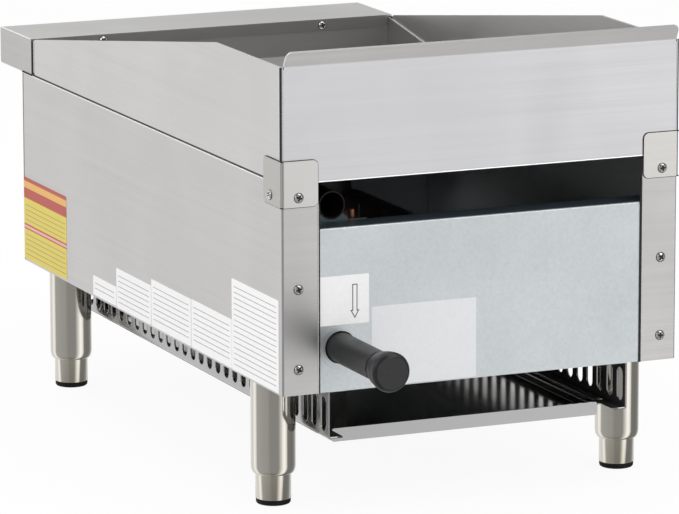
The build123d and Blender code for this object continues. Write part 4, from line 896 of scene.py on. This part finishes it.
def two_tone(colours, bottom, top):
    """Yellow paper with plain bands at set heights."""
    material, tree, shader, place = start_material("two_tone_label", Specular_IOR_Level=0.25)
    marks = use_group(tree, groups["mottle"], {
        "Position": place.outputs["Object"], "Scale": 300.0, "Speckle": 2500.0})
    height = node(tree, "SeparateXYZ", {0: place.outputs["Object"]}).outputs["Z"]
    level = spread(tree, height, bottom, top)
    print_colour = banded(tree, level, "CONSTANT", (
        (0, colours.label_yellow), (0.365, colours.label_red), (0.382, colours.label_pink),
        (0.414, colours.label_red), (0.43, colours.label_yellow), (0.745, colours.label_red),
        (0.87, colours.label_amber), (0.95, colours.label_red)))
    wear = blended(tree, marks["Cloud"], (0.96, 0.96, 0.96, 1), (1, 1, 1, 1))
    worn = node(tree, "Mix", {0: 1.0, 6: print_colour, 7: wear}, data_type="RGBA",
                blend_type="MULTIPLY")
    tree.links.new(worn.outputs[2], shader.inputs["Base Color"])
    tree.links.new(spread(tree, marks["Cloud"], 0.3, 0.7, 0.38, 0.48), shader.inputs["Roughness"])
    return material


# First and last Y, bottom and top of the labels on the side panel, in millimetres
SIDE_LABELS = ((-160, -100, 115, 133.5), (-99, -10.5, 114.6, 152), (-9.5, 88, 114.6, 158.5),
               (89.3, 185, 114.6, 159), (185.6, 292.5, 114.4, 196.7))
TWO_TONE_LABEL = (-348, -231, 115, 196)
# Heights of the two-tone label's lines, as shares of its own
TWO_TONE_RULES = (0.06, 0.12, 0.18, 0.24, 0.30, 0.48, 0.54, 0.60, 0.66)
# Corners of the arrow from its centre, in millimetres
ARROW_OUTER = ((-2.4, 15), (2.4, 15), (2.4, -8), (4.2, -8), (0, -15.5), (-4.2, -8), (-2.4, -8))
ARROW_INNER = ((-1.6, 14.2), (1.6, 14.2), (1.6, -8.8), (2.85, -8.8), (0, -13.9), (-2.85, -8.8),
               (-1.6, -8.8))
INK_DEPTH = 0.00004


def side_label(name, face, edges, corner, thickness, material):
    """A label on the side panel from its edges in millimetres."""
    y0, y1, z0, z1 = edges
    return rounded_plate(name, (face, (y0 + y1) / 2000, (z0 + z1) / 2000), (0, 1, 0),
                         (y1 - y0) / 1000, (z1 - z0) / 1000, corner, thickness, material)


def ruled_lines(name, face, material):
    """Flat printed lines on the side labels: evenly spaced on the white ones, at set shares of the
    height on the two-tone one."""
    margin, banded_margin, first_line, spacing, line_width = 5, 4, 7, 5.0, 0.0005
    lines = [(y0 + margin, y1 - margin, z) for y0, y1, z0, z1 in SIDE_LABELS
             for z in np.arange(z1 - first_line, z0 + margin, -spacing)]
    y0, y1, z0, z1 = TWO_TONE_LABEL
    lines += [(y0 + banded_margin, y1 - banded_margin, z0 + (z1 - z0) * share)
              for share in TWO_TONE_RULES]
    corners = [[(face, y / 1000, z / 1000 + rise) for y, rise in (
        (first, 0), (last, 0), (last, line_width), (first, line_width))] for first, last, z in lines]
    return slabs(name, corners, (1, 0, 0), INK_DEPTH, material)


def printed_arrow(name, x, face, z, material):
    """A hollow arrow that points down: the band between its two outlines, raised by the ink's depth."""
    loops = []
    for corners, depth in ((ARROW_INNER, 0), (ARROW_INNER, INK_DEPTH), (ARROW_OUTER, INK_DEPTH),
                           (ARROW_OUTER, 0), (ARROW_INNER, 0)):
        loop = np.array(corners) / 1000
        loops.append(np.stack([x - loop[:, 0], 0 * loop[:, 0] + face + depth, z + loop[:, 1]], 1))
    return grid_object(name, np.stack(loops)[None], material, smooth=30)


class GRIDDLE_OT_labels(Operator):
    """Makes the plain paper labels on the side panel and the rear panel"""
    bl_idname = "griddle.labels"
    bl_label = "Plain labels"

    def execute(self, context):
        thin, paper = context.scene.griddle_fittings.label_thickness, finishes["paper"]
        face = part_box("side_panel_right")[1].x
        for number, edges in enumerate(SIDE_LABELS, 1):
            placed(side_label(f"side_label_{number}", face, edges, 0.001, thin, paper), "griddle")
        placed(ruled_lines("side_label_rules", face + thin, finishes["label_grey"]), "griddle")
        bottom, top = TWO_TONE_LABEL[2] / 1000, TWO_TONE_LABEL[3] / 1000
        banded = two_tone(context.scene.griddle_finishes, bottom, top)
        placed(side_label("two_tone_label", face, TWO_TONE_LABEL, 0.0012, thin, banded), "griddle")
        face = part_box("rear_panel")[1].y
        for name, x, z, width, height, corner, material in (
                ("inlet_label", 0.1317, 0.19375, 0.0476, 0.0435, 0.0012, paper),
                ("rear_label", 0.05525, 0.14985, 0.1003, 0.0713, 0.001, finishes["grey_paper"])):
            label = rounded_plate(name, (x, face, z), (-1, 0, 0), width, height, corner, thin, material)
            placed(label, "griddle")
        arrow = printed_arrow("inlet_arrow", 0.1214, face + thin, 0.1922, finishes["label_ink"])
        placed(arrow, "griddle")
        return {"FINISHED"}


class GRIDDLE_OT_dial(Operator):
    """Makes the pointer line on the knob and the ticks round it, bars on spokes of the knob's axis"""
    bl_idname = "griddle.dial"
    bl_label = "Knob pointer and ticks"

    def execute(self, context):
        low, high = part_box("knob")
        centre = np.array([(low.x + high.x) / 2, 0, (low.z + high.z) / 2])
        thin = context.scene.griddle_fittings.label_thickness
        # Turns of the spokes in degrees, reach from the axis, half width, plane, body and finish.
        for name, turns, reach, half, level, body, finish in (
                ("knob_pointer", (90,), (0.007, 0.0195), 0.0009, low.y, "knob", "paper"),
                ("dial_ticks", (90, 120, 150, 180), (0.0285, 0.0335), 0.0005,
                 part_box("control_panel")[0].y, "griddle", "label_ink")):
            turn = np.radians(turns)[:, None]
            along = np.stack([np.cos(turn), 0 * turn, np.sin(turn)], 2)
            across = np.stack([-np.sin(turn), 0 * turn, np.cos(turn)], 2)
            ends = np.array([reach[0], reach[1], reach[1], reach[0]])[None, :, None]
            sides = np.array([-half, -half, half, half])[None, :, None]
            outlines = centre + (0, level, 0) + along * ends + across * sides
            placed(slabs(name, outlines, (0, -1, 0), thin, finishes[finish]), body)
        return {"FINISHED"}


def bracket_outline():
    """Runs round the free edges of the right corner bracket: straight down each flange from the bend,
    and a quarter circle at each free corner."""
    low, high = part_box("corner_bracket_right")
    corner, half, bend, shortest = 0.005, 0.0006, 0.0004, 1e-5
    turn = np.radians(np.linspace(0, 90, 6))
    runs = []
    for width, rearward in ((high.x - low.x, True), (high.y - low.y, False)):
        sweep, rise = width - corner * (1 - np.sin(turn)), corner * (1 - np.cos(turn))
        out = np.concatenate([[bend], sweep, sweep[::-1], [bend]])
        z = np.concatenate([[high.z], high.z - rise, low.z + rise[::-1], [low.z]])
        if rearward:
            path = np.stack([high.x - out, 0 * out + high.y - half, z], 1)
        else:
            path = np.stack([0 * out + high.x - half, high.y - out, z], 1)
        runs += [(path[i], path[i + 1]) for i in range(len(path) - 1)
                 if np.abs(path[i + 1] - path[i]).max() > shortest]
    return runs


def upright(x, y, bottom, top):
    """A run straight up."""
    return (x, y, bottom), (x, y, top)


def lengthwise(x, z, first, last):
    """A level run along Y."""
    return (x, first, z), (x, last, z)


class GRIDDLE_OT_edges(Operator):
    """Makes near-white rods along the bends as painted highlights, and near-black rods in the seams
    between the sheets and round the brackets' cut edges as painted shade
    """
    bl_idname = "griddle.edges"
    bl_label = "Sheet edges and seams"

    def execute(self, context):
        fittings = context.scene.griddle_fittings
        bright, dark = fittings.edge_radius, fittings.seam_radius
        panel_low, panel_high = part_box("side_panel_right")
        splash_low, splash_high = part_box("side_splash_right")
        ledge_low, ledge_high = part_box("front_ledge")
        back_low, back_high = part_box("back_splash")
        bracket_low, bracket_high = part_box("corner_bracket_right")
        x, back = panel_high.x, panel_high.y
        gap, sheet, half_bend, post_width, proud = 0.001, 0.0012, 0.0004, 0.0345, 0.0001
        bend_drop, lip_setback, seam_inset, painted_shade_depth = 0.0009, 0.0016, 0.0007, 0.0008
        post, seam = back_high.x - post_width, (panel_high.z + splash_low.z) / 2
        bends = mirrored([
            lengthwise(x, panel_high.z - bend_drop, panel_low.y, bracket_low.y - gap),
            upright(x, splash_low.y, splash_low.z + 2 * gap, ledge_high.z - gap),
            lengthwise(x, ledge_high.z, ledge_low.y + gap, ledge_high.y - gap),
            upright(x, splash_high.y - lip_setback, bracket_high.z, splash_high.z),
            upright(x - sheet, back, bracket_high.z, splash_high.z),
            upright(post + half_bend, back, panel_low.z, bracket_low.z)])
        bends.append(((-post, back, back_low.z + half_bend), (post, back, back_low.z + half_bend)))
        # Painted highlight: thin round rods in near-white steel along the bends and sheet edges.
        placed(rods("polished_bends", bends, bright, finishes["bright_edge"]), "griddle")
        # Painted shade: near-black rods in the seams between the side panels, splashes, ledge and posts.
        deep, ledge_back, ledge_seam_top = x + proud - dark, ledge_high.y, ledge_high.z - 2 * gap
        seams = mirrored([
            lengthwise(deep, seam, ledge_back, bracket_low.y),
            lengthwise(deep, seam - gap / 2, ledge_back, bracket_low.y),
            upright(deep, ledge_back + sheet, panel_high.z, ledge_seam_top),
            upright(deep, ledge_back + sheet + gap, panel_high.z, ledge_seam_top),
            lengthwise(x, panel_high.z, panel_low.y + gap, ledge_back),
            upright(x, splash_high.y + sheet, bracket_high.z, splash_high.z),
            upright(post - seam_inset, back - painted_shade_depth, panel_low.z, bracket_low.z)])
        placed(rods("sheet_seams", seams, dark, finishes["raw_edge"]), "griddle")
        # Painted shadow: near-black rods round the brackets' free edges.
        bracket_shadow_rods = rods("bracket_edges", mirrored(bracket_outline()), fittings.outline_radius,
                   finishes["raw_edge"])
        placed(bracket_shadow_rods, "griddle")
        return {"FINISHED"}


# Studio

# Place of each lamp, its width and its height, in metres
LAMPS = {"key": ((-1.6, 2.2, 2.7), (1.9, 1.6)), "fill": ((2.5, 0.9, 1.8), (1.3, 1.7)),
         "rim": ((0.6, -2.4, 2.3), (2.4, 0.8)), "top": ((0.1, 0.2, 2.6), (2.2, 1.8))}
LAMP_TARGET = Vector((0, 0, 0.22))


class GRIDDLE_OT_studio(Operator):
    """Makes the floor, the lamps, the room light and the camera"""
    bl_idname = "griddle.studio"
    bl_label = "Studio and camera"

    def execute(self, context):
        studio = context.scene.griddle_studio
        make_floor()
        make_room(context.scene, studio.sky)
        for name, (place, size) in LAMPS.items():
            soft_light(name + "_light", place, size, getattr(studio, name + "_power"))
        make_camera(context.scene, studio)
        return {"FINISHED"}


# Compass bearing as a share of a turn from -X, and brightness of the room there
ROOM = ((0.0, 0.26), (0.05, 0.35), (0.12, 0.8), (0.2, 1.0), (0.345, 1.0), (0.375, 1.45), (0.405, 1.3),
        (0.44, 0.56), (0.60, 0.49), (0.655, 0.38), (0.76, 0.38), (0.80, 0.85), (0.825, 1.3),
        (0.85, 1.6), (0.88, 1.3), (0.912, 0.28), (1.0, 0.26))
BRIGHTEST = max(tone for position, tone in ROOM)


def room_tone(tree, axes):
    """Brightness of the room in reflections: by compass bearing a white backdrop, bright panels that
    end a little above the horizon and the unlit room between them, all of it dimmer towards ceiling
    and floor."""
    bearing = maths(tree, "ARCTAN2", axes.outputs["Y"], axes.outputs["X"])
    turn = maths(tree, "ADD", maths(tree, "DIVIDE", bearing, 2 * pi), 0.5)
    tones = banded(tree, turn, "EASE", [
        (position, (tone / BRIGHTEST, tone / BRIGHTEST, tone / BRIGHTEST)) for position, tone in ROOM])
    grey = node(tree, "RGBToBW", {0: tones}).outputs[0]
    limit = spread(tree, axes.outputs["Z"], 0.0, 0.12, 1.0, 1.02 / BRIGHTEST)
    grey = maths(tree, "MINIMUM", grey, limit)
    ceiling = spread(tree, axes.outputs["Z"], 0.26, 0.5, BRIGHTEST, 0.62 * BRIGHTEST)
    ground = spread(tree, axes.outputs["Z"], -0.9, -0.6, 0.74, 1.0)
    return maths(tree, "MULTIPLY", maths(tree, "MULTIPLY", grey, ceiling), ground)


def bounced(tree, rays):
    """1 for a ray that was mirrored or refracted, 0 for any other."""
    return maths(tree, "MAXIMUM", rays.outputs["Is Glossy Ray"], rays.outputs["Is Transmission Ray"])


def make_floor():
    """A wide pale floor that shows white to the camera and keeps a share of the object's shadow. Metal
    mirrors the room through it."""
    size, level = 14.0, -0.0003
    mesh = bpy.data.meshes.new("floor")
    mesh.from_pydata([(-size, -size, level), (size, -size, level), (size, size, level),
                      (-size, size, level)], [], [(0, 1, 2, 3)])
    floor = bpy.data.objects.new("floor", mesh)
    bpy.context.scene.collection.objects.link(floor)
    material = bpy.data.materials.new("pale_floor")
    material.use_nodes = True
    tree = material.node_tree
    tree.nodes.clear()
    place = node(tree, "TexCoord")
    grain = node(tree, "TexNoise", {"Vector": place.outputs["Object"], "Scale": 3.0})
    tone = spread(tree, grain.outputs["Fac"], 0.3, 0.7, 0.80, 0.82)
    matt = node(tree, "BsdfDiffuse", {"Color": tone})
    white = node(tree, "Emission", {"Color": (1, 1, 1, 1), "Strength": 1.0})
    clear = node(tree, "BsdfTransparent")
    rays = node(tree, "LightPath")
    share = maths(tree, "MULTIPLY", rays.outputs["Is Camera Ray"], 0.93)
    shown = node(tree, "MixShader", {0: share, 1: matt.outputs[0], 2: white.outputs[0]})
    mix = node(tree, "MixShader", {0: bounced(tree, rays), 1: shown.outputs[0], 2: clear.outputs[0]})
    out = node(tree, "OutputMaterial")
    tree.links.new(mix.outputs[0], out.inputs["Surface"])
    mesh.materials.append(material)


def make_room(scene, sky):
    """White behind everything, the toned room in reflections, and a plain even light on the object."""
    world = bpy.data.worlds.new("room")
    world.use_nodes = True
    tree = world.node_tree
    back = tree.nodes["Background"]
    place = node(tree, "TexCoord")
    axes = node(tree, "SeparateXYZ", {0: place.outputs["Generated"]})
    rays = node(tree, "LightPath")
    gain = maths(tree, "SUBTRACT", room_tone(tree, axes), sky)
    lit = maths(tree, "ADD", maths(tree, "MULTIPLY", bounced(tree, rays), gain), sky)
    tree.links.new(maths(tree, "MAXIMUM", rays.outputs["Is Camera Ray"], lit), back.inputs["Strength"])
    low = spread(tree, axes.outputs["Z"], -0.6, -0.9)
    tree.links.new(blended(tree, low, (1, 1, 1, 1), (1, 0.95, 0.86, 1)), back.inputs["Color"])
    scene.world = world


def soft_light(name, place, size, power):
    """A rectangular softbox aimed at the object's middle."""
    lamp = bpy.data.lights.new(name, "AREA")
    lamp.shape = "RECTANGLE"
    lamp.size, lamp.size_y = size
    lamp.energy = power
    box = bpy.data.objects.new(name, lamp)
    box.location = place
    box.rotation_euler = (Vector(place) - LAMP_TARGET).to_track_quat("Z", "Y").to_euler()
    bpy.context.scene.collection.objects.link(box)


def make_camera(scene, studio):
    """A camera that looks at the aim point from its bearing, height and distance, turned by its roll."""
    az, el = studio.azimuth, studio.elevation
    forward = Vector((-np.sin(az) * np.cos(el), np.cos(az) * np.cos(el), -np.sin(el)))
    right = forward.cross(UP).normalized()
    up = right.cross(forward)
    turn = Matrix.Rotation(studio.roll, 3, forward)
    right, up = turn @ right, turn @ up
    lens = bpy.data.cameras.new("camera")
    lens.sensor_width = 36
    lens.lens = studio.focal
    lens.clip_end = 50
    camera = bpy.data.objects.new("camera", lens)
    facing = Matrix((right, up, -forward)).transposed()
    place = Vector(studio.aim) - forward * studio.distance
    camera.matrix_world = Matrix.Translation(place) @ facing.to_4x4()
    scene.collection.objects.link(camera)
    scene.camera = camera
    scene.view_settings.view_transform = "Standard"


# Panel and registration

class GRIDDLE_PT_panel(Panel):
    """Lists the griddle's operators and settings"""
    bl_label = "Griddle"
    bl_idname = "GRIDDLE_PT_panel"
    bl_space_type = "VIEW_3D"
    bl_region_type = "UI"
    bl_category = "Griddle"

    def draw(self, context):
        for operator in STEPS:
            self.layout.operator(operator.bl_idname)
        for settings in (context.scene.griddle_finishes, context.scene.griddle_fittings,
                         context.scene.griddle_studio):
            box = self.layout.box()
            for key in settings.__annotations__:
                box.prop(settings, key)


STEPS = (GRIDDLE_OT_finishes, GRIDDLE_OT_rails, GRIDDLE_OT_legs, GRIDDLE_OT_inlet, GRIDDLE_OT_screws,
         GRIDDLE_OT_labels, GRIDDLE_OT_dial, GRIDDLE_OT_edges, GRIDDLE_OT_studio)
SETTINGS = {"griddle_finishes": GriddleFinishes, "griddle_fittings": GriddleFittings,
            "griddle_studio": GriddleStudio}


def register():
    """Registers the settings, the operators and the panel."""
    for group in SETTINGS.values():
        bpy.utils.register_class(group)
    for name, group in SETTINGS.items():
        setattr(bpy.types.Scene, name, PointerProperty(type=group))
    for operator in STEPS:
        bpy.utils.register_class(operator)
    bpy.utils.register_class(GRIDDLE_PT_panel)


def unregister():
    """Takes back what register does."""
    bpy.utils.unregister_class(GRIDDLE_PT_panel)
    for operator in reversed(STEPS):
        bpy.utils.unregister_class(operator)
    for name in SETTINGS:
        delattr(bpy.types.Scene, name)
    for group in reversed(SETTINGS.values()):
        bpy.utils.unregister_class(group)


def main():
    register()
    bpy.ops.griddle.finishes()
    bpy.ops.griddle.rails()
    bpy.ops.griddle.legs()
    bpy.ops.griddle.inlet()
    bpy.ops.griddle.screws()
    bpy.ops.griddle.labels()
    bpy.ops.griddle.dial()
    bpy.ops.griddle.edges()
    bpy.ops.griddle.studio()


if __name__ == "__main__":
    main()
